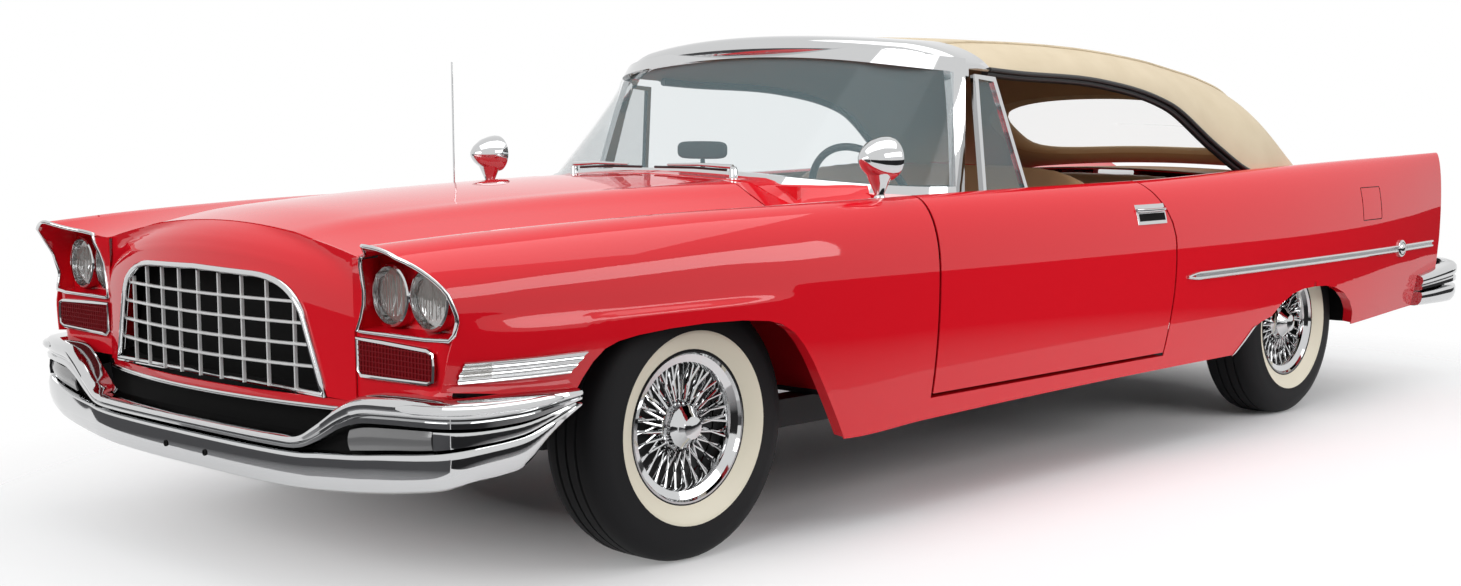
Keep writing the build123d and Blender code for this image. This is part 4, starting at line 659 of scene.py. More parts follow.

# Inlets under the lamps, meshed and edged, with a dark red backing plate and mesh: red with painted shade of
# the duct's depth
inlet = Shape()
INLET_Y = FACE_Y - 6
MESH_PITCH = 12.6
MESH_X = (604, 888)
MESH_Z = (544, 620)
INLET = [
    (600, 626), (700, 624), (870, 619), (890, 612), (893, 582), (890, 552), (870, 545), (700, 541),
    (616, 540), (604, 552),
]
ring = [(x, INLET_Y, z) for x, z in INLET]
inlet.cap([(x, y + 2, z) for x, y, z in ring], 1)
inlet.tube(ring, 5, 0, 8, closed=True)
for k in range(22):
    x = MESH_X[0] + 8 + k * MESH_PITCH
    inlet.tube([(x, INLET_Y, z) for z in MESH_Z], 1.5, 1, 4)
for z in spread(MESH_Z[0] + 8, MESH_Z[1] - 8, 6):
    inlet.tube([(x, INLET_Y - 1, z) for x in MESH_X], 1.5, 1, 4)
inlet.both().make("visual_inlets", "car_body", [chrome.mat, shaded_inlet_red.mat], ["inlet_frames"], 40,
                  "bright_metal", False)

# Doors with a curved rear edge and a tan inner card
SEAM = [
    (340, 242), (450, 255), (554, 265), (640, 269), (725, 268), (780, 252), (836, 221), (880, 184),
    (915, 146), (1000, 146),
]
SEAM_MIDDLE = 255
DOOR_FOOT = 346
CARD_X = 850
CARD_ROWS = (14, 18, 24, 28)
HINGE = (938, -1036)
HINGE_Z = (500, 720)
RELIEF = (930, -966)
RELIEF_TOP = 900


def seam_y(z):
    """Place of the seam behind the door at a height."""
    return steps(SEAM, z)


def seam_rows(y_far, gap, low, count):
    """Columns running from a far station to the curved seam."""
    rows = []
    for share in spread(0, 1, count):
        guess = side_column(y_far + (SEAM_MIDDLE + gap - y_far) * share, low)
        row = []
        for k, (_, _, z) in enumerate(guess):
            y = y_far + (seam_y(z) + gap - y_far) * share
            height = side_column(y, low)[k][2]
            row.append((side_x(y, height), y, height))
        rows.append(row)
    return rows


door = Shape()
rows = seam_rows(DOOR_Y[0], 0, DOOR_FOOT, 44)
door.shell(rows, SKIN, 0, 0, True)
card = []
for row in rows:
    x, y, z = row[0]
    line = [(x, y, z), (866, y, z - 2), (853, y, z - 9), (CARD_X, y, z - 24)]
    card.append(line + [(CARD_X, row[k][1], row[k][2]) for k in CARD_ROWS])
door.shell(card, 3, 2, 2)
for row, line, back in ((rows[0], card[0], RELIEF), (rows[-1], card[-1], None)):
    skin_side = [row[k] for k in (0, *CARD_ROWS)]
    card_side = [line[k] for k in (0, 4, 5, 6, 7)]
    middle = [[p if p[2] > RELIEF_TOP else (*back, p[2]) for p in skin_side]] if back else []
    door.grid([skin_side] + middle + [card_side], 0)
STRAP = [(-12, -5), (4, 12), (-34, 42), (-38, 85), (-66, 85), (-66, 52)]
# Hinge straps, in the near-black painted shade
for z in HINGE_Z:
    door.plate([(HINGE[0] + x, HINGE[1] + y, z) for x, y in STRAP], (0, 0, 22), 1)
door.grid([[row[-1] for row in rows], [line[-1] for line in card]], 0)
door.make_pair("door", DOOR_PAIR, paint_mats, 40, "body_paint")

# Rear quarters with fins
QUARTER_JOIN_Y = 470
RAIL_X = (852, 866)
TRIM_Y = 260
TRIM_FOOT = 520
DOOR_GAP = 9
FIN_START = 2300


def with_rail(column):
    """A column of the quarter after the rolled edge along the cabin."""
    _, y, z = column[0]
    return [(RAIL_X[0], y, z - 9), (RAIL_X[1], y, z - 3)] + column


quarter = Shape()
front_rows = list(reversed(seam_rows(QUARTER_JOIN_Y, DOOR_GAP, None, 12)))[:-1]
side_rows = [side_column(y) for y in station_list(QUARTER_JOIN_Y, DECK_Y, PANEL_STEP, ARCH_STATIONS)]
# Inside faces of the quarter in near-black painted shade
quarter.shell([with_rail(column) for column in front_rows + side_rows], SKIN, 0, 1, True)
inner = []
for y in station_list(TRIM_Y, DECK_Y, 40):
    top = at(BODY, y)["crest_z"] - 9
    inner.append([(RAIL_X[0], y, top), (CARD_X, y, top - 40), (CARD_X, y, TRIM_FOOT)])
quarter.shell(inner, 3, 2, 2)


def tail_y(share):
    """Rear edge of the fin, leaning in towards its foot."""
    return steps([(0, 2592), (0.27, TAIL_Y), (0.75, 2562), (1.0, 2548)], share)


fin_ys = station_list(DECK_Y, TAIL_Y, PANEL_STEP, ARCH_STATIONS)
fin_rows = pulled(fin_ys, fender_column, tail_y, FIN_START, TAIL_Y)
# Inside faces of the fin in near-black painted shade
quarter.shell(fin_rows, SKIN, 0, 1, True)
quarter.make_pair("rear_quarter", BODY_PAIR, paint_mats, 40, "body_paint")

# Surface of the hood and cowl
BULGE_BLEND = 70


def hood_height(y, x):
    """Height of the hood or cowl skin: a broad crown falling to the fender edge."""
    row = at(HOOD, y)
    edge_z = at(BODY, y)["valley_z"]
    a = abs(x)
    crown = row["centre_z"] - (row["centre_z"] - row["bulge_z"]) * (a / row["bulge_x"]) ** 2
    fall = row["bulge_z"] + (edge_z - row["bulge_z"]) * (a - row["bulge_x"]) / (INNER_X - row["bulge_x"])
    t = ease(row["bulge_x"] - BULGE_BLEND, row["bulge_x"] + BULGE_BLEND, a)
    return crown * (1 - t) + fall * t if a < row["bulge_x"] + BULGE_BLEND else fall


# Swan neck of the hood and lid hinges, whose open ends reach the panel
ARM = [(-8, 6), (-12, -8), (62, -122), (134, -122), (134, None), (112, None), (112, -100), (74, -100), (8, 4)]
ARM_WIDE = 22


def arms(shape, xs, pivot, ahead, top):
    """Arms from a pivot to the underside of a panel, which lies ahead of it or behind."""
    for x in xs:
        outline = [(x, pivot[0] + ahead * u, pivot[1] + (top if w is None else w)) for u, w in ARM]
        shape.plate(outline, (ARM_WIDE, 0, 0), 1)


# Hood
hood = Shape()
PANEL_HALF = 584
HOOD_PIVOT = (-1178, 905)
xs = spread(-PANEL_HALF, PANEL_HALF, 61)
hood_ys = station_list(HOOD_Y[0], HOOD_Y[1], 30)
hood.shell([[(x, y, hood_height(y, x)) for x in xs] for y in hood_ys], SKIN, 0, 0, True)
arms(hood, (-422, 400), HOOD_PIVOT, -1, 17)
hood.make("visual_hood", "hood_panel", [red.mat, black.mat], ["hood"], 40, "body_paint")

# Trunk lid with its drop to the tail
DECK_CROWN = 24
LID_PIVOT = (1745, 850)
LID_EDGE = 30
LID_FALL = 34
LID_FACE_Z = (800, 760, 720, 680, 642)
lid = Shape()


def deck_height(y, x):
    """Height of the rear deck and lid, crowned across the car."""
    return at(BODY, y)["valley_z"] + DECK_CROWN * (1 - (x / INNER_X) ** 2)


def lid_row(x):
    """Points back along the lid, round its edge and down its rear face."""
    back = LID_Y[1] - LID_EDGE
    line = [(x, y, deck_height(y, x)) for y in station_list(LID_Y[0], back, 40)]
    top = deck_height(back, x)
    for a in (20, 40, 60, 80):
        turn = math.radians(a)
        line.append((x, back + LID_EDGE * math.sin(turn), top - LID_FALL * (1 - math.cos(turn))))
    return line + [(x, LID_Y[1], z) for z in LID_FACE_Z]


lid.shell([lid_row(x) for x in spread(-PANEL_HALF, PANEL_HALF, 41)], SKIN, 0, 0)
arms(lid, (-561, 539), LID_PIVOT, 1, 36)
lid.make("visual_trunk_lid", "trunk_panel", [red.mat, black.mat], ["trunk_lid"], 40, "body_paint")

# Deck between cabin and lid
deck = Shape()
xs = spread(-INNER_X, INNER_X, 31)
deck_ys = station_list(DECK_Y + 4, LID_Y[0] - 6, 40)
deck.shell([[(x, y, deck_height(y, x)) for x in xs] for y in deck_ys], SKIN, 0, 0, True)
deck.make("visual_rear_deck", "car_body", [red.mat], ["rear_deck"], 40, "body_paint")

# Nose: a curved face round the grille opening
GRILLE = [(485, 498), (420, 672), (250, 750)]
NOSE_FACE_Y = -2742
NOSE_BOW = 72
NOSE_BACK_Y = -2657
NOSE_TOP = 876
NOSE_FALL = 64
NOSE_FOOT = 478
NOSE_SIDE_Z = (476, 812)
BAR_PITCH = 97
BAR_HALF = 2.6
GRILLE_BACK_Y = -2640
ROLL_BACK = [(400, 0), (740, 0), (780, 4), (812, 13), (838, 29), (856, 49), (866, 64), (873, 77), (877, 87)]


def nose_y(x, z):
    """Front of the nose: bowed in plan and rolled back at the top."""
    roll = steps(ROLL_BACK, z + NOSE_FALL * (x / INNER_X) ** 2)
    return min(NOSE_FACE_Y + NOSE_BOW * (x / INNER_X) ** 2 + roll, NOSE_BACK_Y)


def along(points, n):
    """Even points along a line of corners."""
    pts = np.array(points, float)
    reach = np.concatenate([[0], np.cumsum(np.linalg.norm(np.diff(pts, axis=0), axis=1))])
    return [tuple(np.interp(s, reach, column) for column in pts.T) for s in spread(0, reach[-1], n)]


def nose_top(x):
    """Height of the nose's upper edge across the car."""
    return NOSE_TOP - NOSE_FALL * (x / INNER_X) ** 2


def foot_rows(half, count, lines):
    """Rows across the car along the nose's foot, each at a height and set back by a depth."""
    return [[(x, nose_y(x, NOSE_FOOT) + back, z) for x in spread(-half, half, count)] for z, back in lines]


def opening(grow):
    """Half outline of the grille opening, from the foot to the middle of its top."""
    (a, b), (c, d), (e, f) = GRILLE
    corner = [(a + grow, b - grow), (c + grow, d + grow * 0.4), (e + grow * 0.5, f + grow), (0, f + grow + 6)]
    lower = along(corner[:2], 12)
    bend = [(corner[1][0] * (1 - t) ** 2 + 2 * t * (1 - t) * (corner[1][0] - 40) + corner[2][0] * t * t,
             corner[1][1] * (1 - t) ** 2 + 2 * t * (1 - t) * (corner[2][1] - 6) + corner[2][1] * t * t)
            for t in spread(0, 1, 10)]
    return lower + bend[1:] + along(corner[2:], 10)[1:]


inner = opening(16)
count = len(inner)
outline = along([(INNER_X, z) for z in NOSE_SIDE_Z], 20)
outline += [(x, nose_top(x)) for x in spread(INNER_X, 0, count - 19)][1:]
nose = Shape()
rows = []
for s in spread(0, 1, 14):
    row = []
    for (x0, z0), (x1, z1) in zip(inner, outline):
        x, z = x0 + (x1 - x0) * s, z0 + (z1 - z0) * s
        row.append((x, nose_y(x, z), z))
    rows.append(row)
full = [row + [(-x, y, z) for x, y, z in reversed(row[:-1])] for row in rows]
nose.shell(full, 6, 0, 0)
nose.shell(foot_rows(INNER_X, 41, [(NOSE_FOOT, 3), (470, 5), (460, 8)]), 4, 0, 0)
nose.tube(foot_rows(INNER_X + 6, 41, [(456, 6)])[0], 6, 1, 8)
# A near-black sheet of painted shade behind the bumper, under the nose
nose.shell(foot_rows(720, 21, [(500, 40), (420, 50), (330, 60)]), 4, 2, 2)
nose.make("visual_nose_panel", "car_body", [red.mat, chrome.mat, painted_shade.mat], ["nose_panel"], 50, "body_paint")

# Grille: bright frame, crossed bars and a near-black back wall of painted shade behind
grille = Shape()
frame_line = [(x, nose_y(x, z) - 2, z) for x, z in opening(10)]
frame_line += [(-x, y, z) for x, y, z in reversed(frame_line[:-1])]
grille.tube(frame_line, 10, 0, 10, closed=True, squash=0.8)
edge = opening(6)


def open_top(x):
    """Height of the opening above x."""
    return float(np.interp(abs(x), [p[0] for p in reversed(edge)], [p[1] for p in reversed(edge)]))


for k in range(-4, 5):
    x = k * BAR_PITCH
    top = open_top(x)
    grille.shell([[(x + w, nose_y(x, 600) + back, z) for z in (GRILLE[0][1] - 8, top)]
                  for w, back in ((-BAR_HALF, 6), (BAR_HALF, 6), (BAR_HALF, 14), (-BAR_HALF, 14))], 0.5, 2, 2)
for k in range(1, 5):
    z = GRILLE[0][1] + k * (GRILLE[2][1] - GRILLE[0][1]) / 5
    half = float(np.interp(z, [p[1] for p in edge], [p[0] for p in edge]))
    line = spread(-half, half, 25)
    for lift in (-BAR_HALF, BAR_HALF):
        grille.shell([[(x, nose_y(x, z) + back, z + lift) for x in line] for back in (2, 12)], 1.2, 2, 2)
    grille.grid([[(x, nose_y(x, z) + 2, z + lift) for x in line] for lift in (-BAR_HALF, BAR_HALF)], 2)
back_wall = [(x, GRILLE_BACK_Y, z) for x, z in opening(30)]
grille.cap(back_wall + [(-x, y, z) for x, y, z in reversed(back_wall[:-1])], 1)
grille.make("visual_grille", "car_body", [chrome.mat, painted_shade.mat, bars.mat], ["grille"], 40, "bright_metal",
            False)

# Bumpers: blade, groove and apron carried round the corners. In their tables y counts the steps from the
# middle round to the end of the wing
FRONT_BAR = rows_of("y x face top mid apron low", [
    (0, 0, -2784, 396, 364, 358, 262),
    (1, 200, -2782, 396, 364, 358, 262),
    (2, 380, -2777, 397, 364, 359, 264),
    (3, 490, -2771, 402, 368, 362, 268),
    (4, 560, -2764, 436, 388, 368, 272),
    (5, 640, -2756, 484, 424, 374, 278),
    (6, 710, -2748, 510, 444, 380, 284),
    (7, 800, -2736, 516, 450, 390, 294),
    (8, 880, -2716, 517, 451, 397, 304),
    (9, 935, -2692, 517, 450, 403, 312),
    (10, 966, -2658, 517, 448, 408, 320),
    (11, 980, -2608, 516, 446, 412, 328),
    (12, 984, -2540, 515, 446, 416, 332),
    (13, 985, -2476, 514, 450, 424, 346),
    (14, 985, -2400, 512, 464, 448, 410),
    (15, 984, -2322, 509, 482, 476, 464),
])
REAR_BAR = rows_of("y x face top mid apron low", [
    (0, 0, 2784, 520, 440, 428, 360),
    (1, 400, 2780, 520, 440, 428, 360),
    (2, 740, 2764, 520, 436, 424, 350),
    (3, 860, 2738, 516, 430, 418, 342),
    (4, 915, 2708, 508, 422, 412, 336),
    (5, 934, 2662, 500, 418, 408, 334),
    (6, 938, 2580, 490, 414, 406, 334),
    (7, 938, 2460, 478, 408, 400, 336),
    (8, 934, 2336, 466, 402, 396, 338),
])
BLADE = [
    (-62, 0.0), (-26, 0.0), (-8, 0.05), (1, 0.16), (4, 0.34), (2, 0.52), (-4, 0.62), (-4, 0.68), (1, 0.74),
    (0, 0.92), (-12, 1.0), (-62, 1.0),
]
APRON = [
    (-62, 0.0), (-12, 0.0), (-3, 0.05), (0, 0.18), (-1, 0.5), (-7, 0.75), (-17, 0.93), (-32, 1.0),
    (-62, 1.0),
]


def bar_point(table, k, out, share, ends=("top", "mid")):
    """Point on a bumper at step k along it, set out from its face, at a share between two of its lines."""
    side = -1 if k < 0 else 1
    row, ahead_row = at(table, abs(k)), at(table, abs(k) + 0.02)
    tx, ty = ahead_row["x"] - row["x"], ahead_row["face"] - row["face"]
    if abs(tx) + abs(ty) < 1e-6:
        row_b = at(table, abs(k) - 0.02)
        tx, ty = row["x"] - row_b["x"], row["face"] - row_b["face"]
    size = math.hypot(tx, ty)
    turn = 1 if table[0]["face"] < 0 else -1
    nx, ny = turn * ty / size, -turn * tx / size
    z = row[ends[0]] - share * (row[ends[0]] - row[ends[1]])
    return side * (row["x"] + nx * out), row["face"] + ny * out, z


def bumper(table):
    """Blade, apron and a near-black sheet of painted shade in the groove between them."""
    bar = Shape()
    last = table[-1]["y"]
    ks = spread(-last, last, int(last) * 12 + 1)
    for section, ends in ((BLADE, ("top", "mid")), (APRON, ("apron", "low"))):
        bar.grid([[bar_point(table, k, o, s, ends) for o, s in section] for k in ks], 0, loop_v=True)
        for k in (ks[0], ks[-1]):
            bar.cap([bar_point(table, k, o, s, ends) for o, s in section], 0)
    # Near-black painted shade in the groove
    bar.shell([[bar_point(table, k, -44, s, ("mid", "apron")) for s in (0.0, 0.5, 1.0)] for k in ks], 6, 1, 1)
    return bar


GROOVE = ("mid", "apron")
BULLET_STEPS = (7.4, 14.2)
FILL_STEPS = (8.7, 14.8)
LAMP_STEPS = (5.4, 8.6)
WING_FILL = [(-40, 0.08), (-5, 0.08), (-3, 0.5), (-5, 0.92), (-40, 0.92)]
# Apron holes stand 95 mm each side of the middle, and a step near the middle is 200 mm
HOLE_STEP = 95 / 200
bar = bumper(FRONT_BAR)
for side in (-1, 1):
    bullet = spread(*BULLET_STEPS, 24)
    radii = [11 * min(1, ((k - 7.35) / 0.5) ** 0.5, ((14.25 - k) / 0.5) ** 0.5) for k in bullet]
    bar.tube([bar_point(FRONT_BAR, side * k, 2, 0.34) for k in bullet], radii, 0, 10)
    block = []
    for k in spread(*FILL_STEPS, 22):
        block.append([bar_point(FRONT_BAR, side * k, o, s, GROOVE) for o, s in WING_FILL])
    bar.grid(block, 0, loop_v=True)
    bar.cap(block[0], 0)
    bar.cap(block[-1], 0)
    lamp = [[bar_point(FRONT_BAR, side * k, -16 + 6 * math.sin(math.pi * s), 0.12 + 0.76 * s, GROOVE)
             for s in spread(0, 1, 7)] for k in spread(*LAMP_STEPS, 16)]
    bar.shell(lamp, 4, 2, 2)
    hole = bar_point(FRONT_BAR, side * HOLE_STEP, -1, 0.48, ("apron", "low"))
    # Hole in the apron, its inside as a near-black disc of painted shade
    bar.lathe([(8, -2), (8, 3), (5, 3), (5, 1), (0.5, 1)], hole, FORWARD, 1, 12)
bar.make("visual_front_bumper", "car_body", [chrome.mat, painted_shade.mat, smoked.mat], ["front_bumper"], 34,
         "bright_metal")
bar = bumper(REAR_BAR)
bar.make("visual_rear_bumper", "car_body", [chrome.mat, painted_shade.mat], ["rear_bumper"], 34, "bright_metal")

# Bright trim on the sides
SPEAR_Z = 592
SPEAR_Y = (345, 2478)
SPEAR_LINES = (583, 602)
BOSS_Y = 2102
BOSS = [(34, 0), (34, 9), (29, 13), (22, 12), (18, 16), (8, 19), (0.5, 19)]
trim = Shape()
STRIP_Y = (-2636, -2326)
STRIP_Z = (546, 592)
ribs = []
for z in spread(*STRIP_Z, 17):
    wave = math.cos((z - STRIP_Z[0]) / (STRIP_Z[1] - STRIP_Z[0]) * 6 * math.pi)
    ys = spread(STRIP_Y[0] + 10 * ease(560, 592, z), STRIP_Y[1] + (z - 569) * 0.9, 24)
    ribs.append([(side_x(y, z) + 7 + 2.0 * wave, y, z) for y in ys])
trim.shell(ribs, 5, 0, 0, True)
trim.shell(on_side(11, spread(-2628, -2560, 6), (556, 570, 584)), 3, 1, 1, True)
for z in SPEAR_LINES:
    line = spread(*SPEAR_Y, 60)
    trim.tube([(side_x(y, z) + 3, y, SPEAR_Z + (z - SPEAR_Z) * ease(330, 420, y)) for y in line], 4.5, 0, 6)
trim.shell(on_side(1.5, spread(400, 2476, 60), (585, 592, 600)), 3, 2, 2, True)
trim.lathe(BOSS, (side_x(BOSS_Y, SPEAR_Z) - 1, BOSS_Y, SPEAR_Z), (1, 0, 0), 0, 32)
guard_edge = along([(752, 294), (800, 330), (868, 386)], 8)
guard = []
for w in (0, 12, 24):
    shifted = [(y - w, z - 0.4 * w) for y, z in guard_edge]
    guard.append([(side_x(y, z) + 3, y, z) for y, z in shifted])
trim.shell(guard, 2, 0, 0, True)
trim.both().make("visual_side_trim", "car_body", [chrome.mat, lens.mat, satin.mat], ["side_trim"], 50,
                 "bright_metal")

# Fuel door outline on the left side: a thin near-black line of painted shade along its seam
fuel = Shape()
loop = along([(1716, 722), (1898, 722), (1900, 848), (1718, 848), (1716, 722)], 60)[:-1]
fuel.tube([(side_x(y, z) - 0.3, y, z) for y, z in loop], 1.6, 0, 5, closed=True)
fuel.make("visual_fuel_door", "car_body", [painted_shade.mat], (), 60)

# Door pulls
pull = Shape()
pull.shell([[(side_x(y, z) + 4 * (1 - abs(2 * (y - 134) / 180) ** 6), y, z) for y in spread(46, 222, 20)]
            for z in spread(779, 843, 8)], 5, 0, 0, True)
# Near-black patch of painted shade for the recess behind the grip
pull.shell(on_side(5, spread(58, 208, 12), (790, 800, 814)), 2, 1, 1, True)
grip = []
for y in spread(52, 216, 18):
    out = 14 * math.sin(math.pi * (y - 52) / 164) ** 0.35 + 2
    grip.append((side_x(y, 826) + out, y, 824))
pull.tube(grip, 8, 0, 8, squash=0.8)
pull.make_pair("door_pull", DOOR_PAIR, [chrome.mat, painted_shade.mat], 50, "bright_metal", True)

# Mirrors on the fenders
MIRROR_AT = (872, -1120)
MIRROR_CUP = [(0.5, -30), (54, -30), (56, -34), (62, -33), (63, -22), (60, -4), (50, 28), (32, 56), (14, 73),
              (0.5, 77)]
mirrors = Shape()
mirrors.lathe(MIRROR_CUP, (*MIRROR_AT, 1012), FORWARD, [1] + [0] * 8, 40)
mirrors.tube([(*MIRROR_AT, z) for z in (893, 899, 915, 945, 985)], [22, 16, 14, 27, 44], 0, 24)
mirrors.both().make("visual_fender_mirrors", "car_body", [chrome.mat, satin.mat], ["fender_mirrors"], 40,
                    "bright_metal")

# Tyres with a pale band, and wire wheels
TYRE = [
    (182, -68, 0), (200, -78, 0), (238, -99, 0), (290, -103, 0), (322, -93, 0), (338, -78, 0),
    (344, -58, 0), (345, -40, 0), (339, -38, 0), (339, -33, 0), (345, -31, 0), (345, -4, 0), (339, -3, 0),
    (339, 3, 0), (345, 4, 0), (345, 31, 0), (339, 33, 0), (339, 38, 0), (345, 40, 0), (344, 58, 0),
    (338, 78, 0), (322, 93, 0), (290, 103, 0), (252, 102.5, 0), (249, 103.5, 1), (240, 102, 1),
    (215, 90, 1), (200, 80, 0), (190, 74, 0), (182, 68, 0),
]
RIM = [
    (168, -66), (180, -70), (194, -76), (195, -80), (190, -82), (170, -70), (160, -30), (158, 20),
    (161, 52), (166, 64), (186, 72), (191, 80), (196, 80), (194, 72), (182, 66), (172, 40), (168, 0),
]
HUB = [(64, 20), (64, 44), (60, 50), (56, 66), (40, 80), (30, 94), (12, 99), (0.5, 99)]


def repeat_round(source, count, material):
    """Copies of an object turned evenly about X, by Geometry Nodes, as a mesh."""
    tree = bpy.data.node_groups.new("ring", "GeometryNodeTree")
    tree.interface.new_socket("Geometry", in_out="OUTPUT", socket_type="NodeSocketGeometry")
    piece_in = tree.interface.new_socket("Piece", in_out="INPUT", socket_type="NodeSocketObject")
    count_in = tree.interface.new_socket("Count", in_out="INPUT", socket_type="NodeSocketInt")
    finish_in = tree.interface.new_socket("Finish", in_out="INPUT", socket_type="NodeSocketMaterial")
    made = {name: tree.nodes.new(kind) for name, kind in (
        ("in", "NodeGroupInput"), ("out", "NodeGroupOutput"), ("points", "GeometryNodePoints"),
        ("piece", "GeometryNodeObjectInfo"), ("index", "GeometryNodeInputIndex"), ("step", "ShaderNodeMath"),
        ("turn", "ShaderNodeMath"), ("join", "ShaderNodeCombineXYZ"),
        ("copies", "GeometryNodeInstanceOnPoints"),
        ("real", "GeometryNodeRealizeInstances"), ("coat", "GeometryNodeSetMaterial"))}
    made["step"].operation = "DIVIDE"
    made["step"].inputs[0].default_value = 2 * math.pi
    made["turn"].operation = "MULTIPLY"
    wires = [
        ("in", "Count", "points", "Count"), ("in", "Piece", "piece", "Object"), ("in", "Count", "step", 1),
        ("index", 0, "turn", 0), ("step", 0, "turn", 1), ("turn", 0, "join", 0),
        ("points", 0, "copies", "Points"), ("piece", "Geometry", "copies", "Instance"),
        ("join", 0, "copies", "Rotation"), ("copies", 0, "real", 0), ("real", 0, "coat", "Geometry"),
        ("in", "Finish", "coat", "Material"), ("coat", 0, "out", 0),
    ]
    for source_node, output, target_node, entry in wires:
        tree.links.new(made[source_node].outputs[output], made[target_node].inputs[entry])
    holder = placed("holder", bpy.data.meshes.new("holder"))
    ring = holder.modifiers.new("Ring", "NODES")
    ring.node_group = tree
    ring[piece_in.identifier] = source
    ring[count_in.identifier] = count
    ring[finish_in.identifier] = material
    bpy.context.view_layer.update()
    got = bpy.data.meshes.new_from_object(holder.evaluated_get(bpy.context.evaluated_depsgraph_get()))
    bpy.data.objects.remove(holder)
    return got


def plain(shape, name):
    """A loose object from a shape, to be copied."""
    mesh = bpy.data.meshes.new(name)
    mesh.from_pydata([tuple(c * MM for c in v) for v in shape.verts], [], shape.faces)
    mesh.shade_smooth()
    return placed(name, mesh)


# Rows of spokes: count, radius and reach at the hub, twist, radius and reach at the rim
SPOKES = [(26, 66, 24, 0.16, 162, 52), (26, 66, 34, -0.16, 162, 44), (26, 66, 46, 0.10, 160, 22)]
spoke_meshes = []
for count, r0, u0, twist, r1, u1 in SPOKES:
    one = Shape().tube([(u0, 0, r0), (u1, r1 * math.sin(twist), r1 * math.cos(twist))], 3.4, 0, 6)
    source = plain(one, "spoke")
    spoke_meshes.append(repeat_round(source, count, chrome.mat))
    bpy.data.objects.remove(source)
WHEELS = [
    ("front_left", 1, FRONT_WHEEL_X, FRONT_AXLE_Y), ("front_right", -1, FRONT_WHEEL_X, FRONT_AXLE_Y),
    ("rear_left", 1, REAR_WHEEL_X, REAR_AXLE_Y), ("rear_right", -1, REAR_WHEEL_X, REAR_AXLE_Y),
]
for name, side, x, y in WHEELS:
    centre = (side * x, y, TYRE_R)
    axis = (side, 0, 0)
    body = name + "_wheel"
    tyre = Shape()
    tyre.lathe([(r, u) for r, u, _ in TYRE + TYRE[:1]], centre, axis, [m for _, _, m in TYRE], 72)
    tyre.make("visual_tyre_" + name, body, [rubber.mat, whitewall.mat], ["tyre_" + name], 40, "tyre_rubber")
    wheel = Shape()
    wheel.lathe(RIM + RIM[:1], centre, axis, 0, 64)
    wheel.lathe([(0.5, 0), (150, 0), (156, 6), (0.5, 6)], centre, axis, 1, 48)
    wheel.lathe(HUB + [(0.5, 20), (64, 20)], centre, axis, 0, 12)
    for mesh in spoke_meshes:
        start = len(wheel.verts)
        spots = [v.co for v in mesh.vertices]
        wheel.verts += [(side * (p.x / MM + x), y + p.y / MM, TYRE_R + p.z / MM) for p in spots]
        for face in mesh.polygons:
            order = list(face.vertices) if side > 0 else list(reversed(face.vertices))
            wheel.faces.append(tuple(start + k for k in order))
            wheel.ids.append(0)
    wheel.make("visual_wheel_" + name, body, [chrome.mat, black.mat], ["wheel_" + name], 30, "bright_metal")

# Soft top
SOFT_TOP = rows_of("y edge_x edge_z shoulder_x shoulder_z crown_z", [
    (-730, 742, 1290, 560, 1344, 1378),
    (-300, 742, 1264, 600, 1364, 1400),
    (200, 748, 1242, 615, 1356, 1400),
    (600, 770, 1166, 625, 1325, 1376),
    (850, 810, 1020, 635, 1288, 1344),
    (1000, 862, 926, 640, 1262, 1318),
    (1200, 862, 930, 640, 1206, 1262),
    (1450, 812, 905, 625, 1060, 1106),
    (1742, 700, 886, 560, 918, 940),
])
TOP_Y = (-730, 1740)
TOP_FRONT = -716
TOP_BOW = 171
TOP_HALF = 760


def through(a, m, b, t):
    """Point at t on the curve from a to b that passes m halfway."""
    c = [2 * m[i] - (a[i] + b[i]) / 2 for i in range(2)]
    return [a[i] * (1 - t) ** 2 + 2 * t * (1 - t) * c[i] + b[i] * t * t for i in range(2)]


def top_point(y, share):
    """Point of the fabric at a station, at a share of the way from edge to edge."""
    row = at(SOFT_TOP, y)
    side = 1 if share < 0.5 else -1
    s = min(share, 1 - share) * 2
    edge, shoulder = (row["edge_x"], row["edge_z"]), (row["shoulder_x"], row["shoulder_z"])
    bow = (edge[0] * 0.56 + shoulder[0] * 0.44 + 0.10 * (shoulder[1] - edge[1]),
           edge[1] * 0.42 + shoulder[1] * 0.58)
    if s < 0.4:
        x, z = through(edge, bow, shoulder, s / 0.4)
    else:
        t = (s - 0.4) / 0.6 / 2
        x, z = through(shoulder, (0, row["crown_z"]), (-shoulder[0], shoulder[1]), t)
    return side * x, z


def top_rows(y_list, shares):
    """Rows of points over the fabric, whose front edge bows with the windscreen."""
    rows = []
    for u in y_list:
        row = []
        for share in shares:
            x, _ = top_point(u, share)
            front_y = TOP_FRONT + TOP_BOW * (x / TOP_HALF) ** 2
            y = front_y + (TOP_Y[1] - front_y) * (u - TOP_Y[0]) / (TOP_Y[1] - TOP_Y[0])
            x, z = top_point(y, share)
            row.append((x, y, z))
        rows.append(row)
    return rows


def top_z(x, y):
    """Height of the fabric above a point of the plan."""
    line = [top_point(y, s) for s in spread(1, 0, 81)]
    return float(np.interp(x, [p[0] for p in line], [p[1] for p in line]))


WINDOW_Y, WINDOW_HALF = 1462, (535, 182)


def window_share(x, y):
    """1 on the edge of the rear window, less inside it."""
    return ((x / WINDOW_HALF[0]) ** 4 + ((y - WINDOW_Y) / WINDOW_HALF[1]) ** 4) ** 0.25


def window_loop(share, lift, count=96):
    """Points round the rear window at a share of its size."""
    found = []
    for k in range(count):
        a = 2 * math.pi * k / count
        r = share / window_share(math.cos(a), WINDOW_Y + math.sin(a))
        x, y = r * math.cos(a), WINDOW_Y + r * math.sin(a)
        found.append((x, y, top_z(x, y) + lift))
    return found


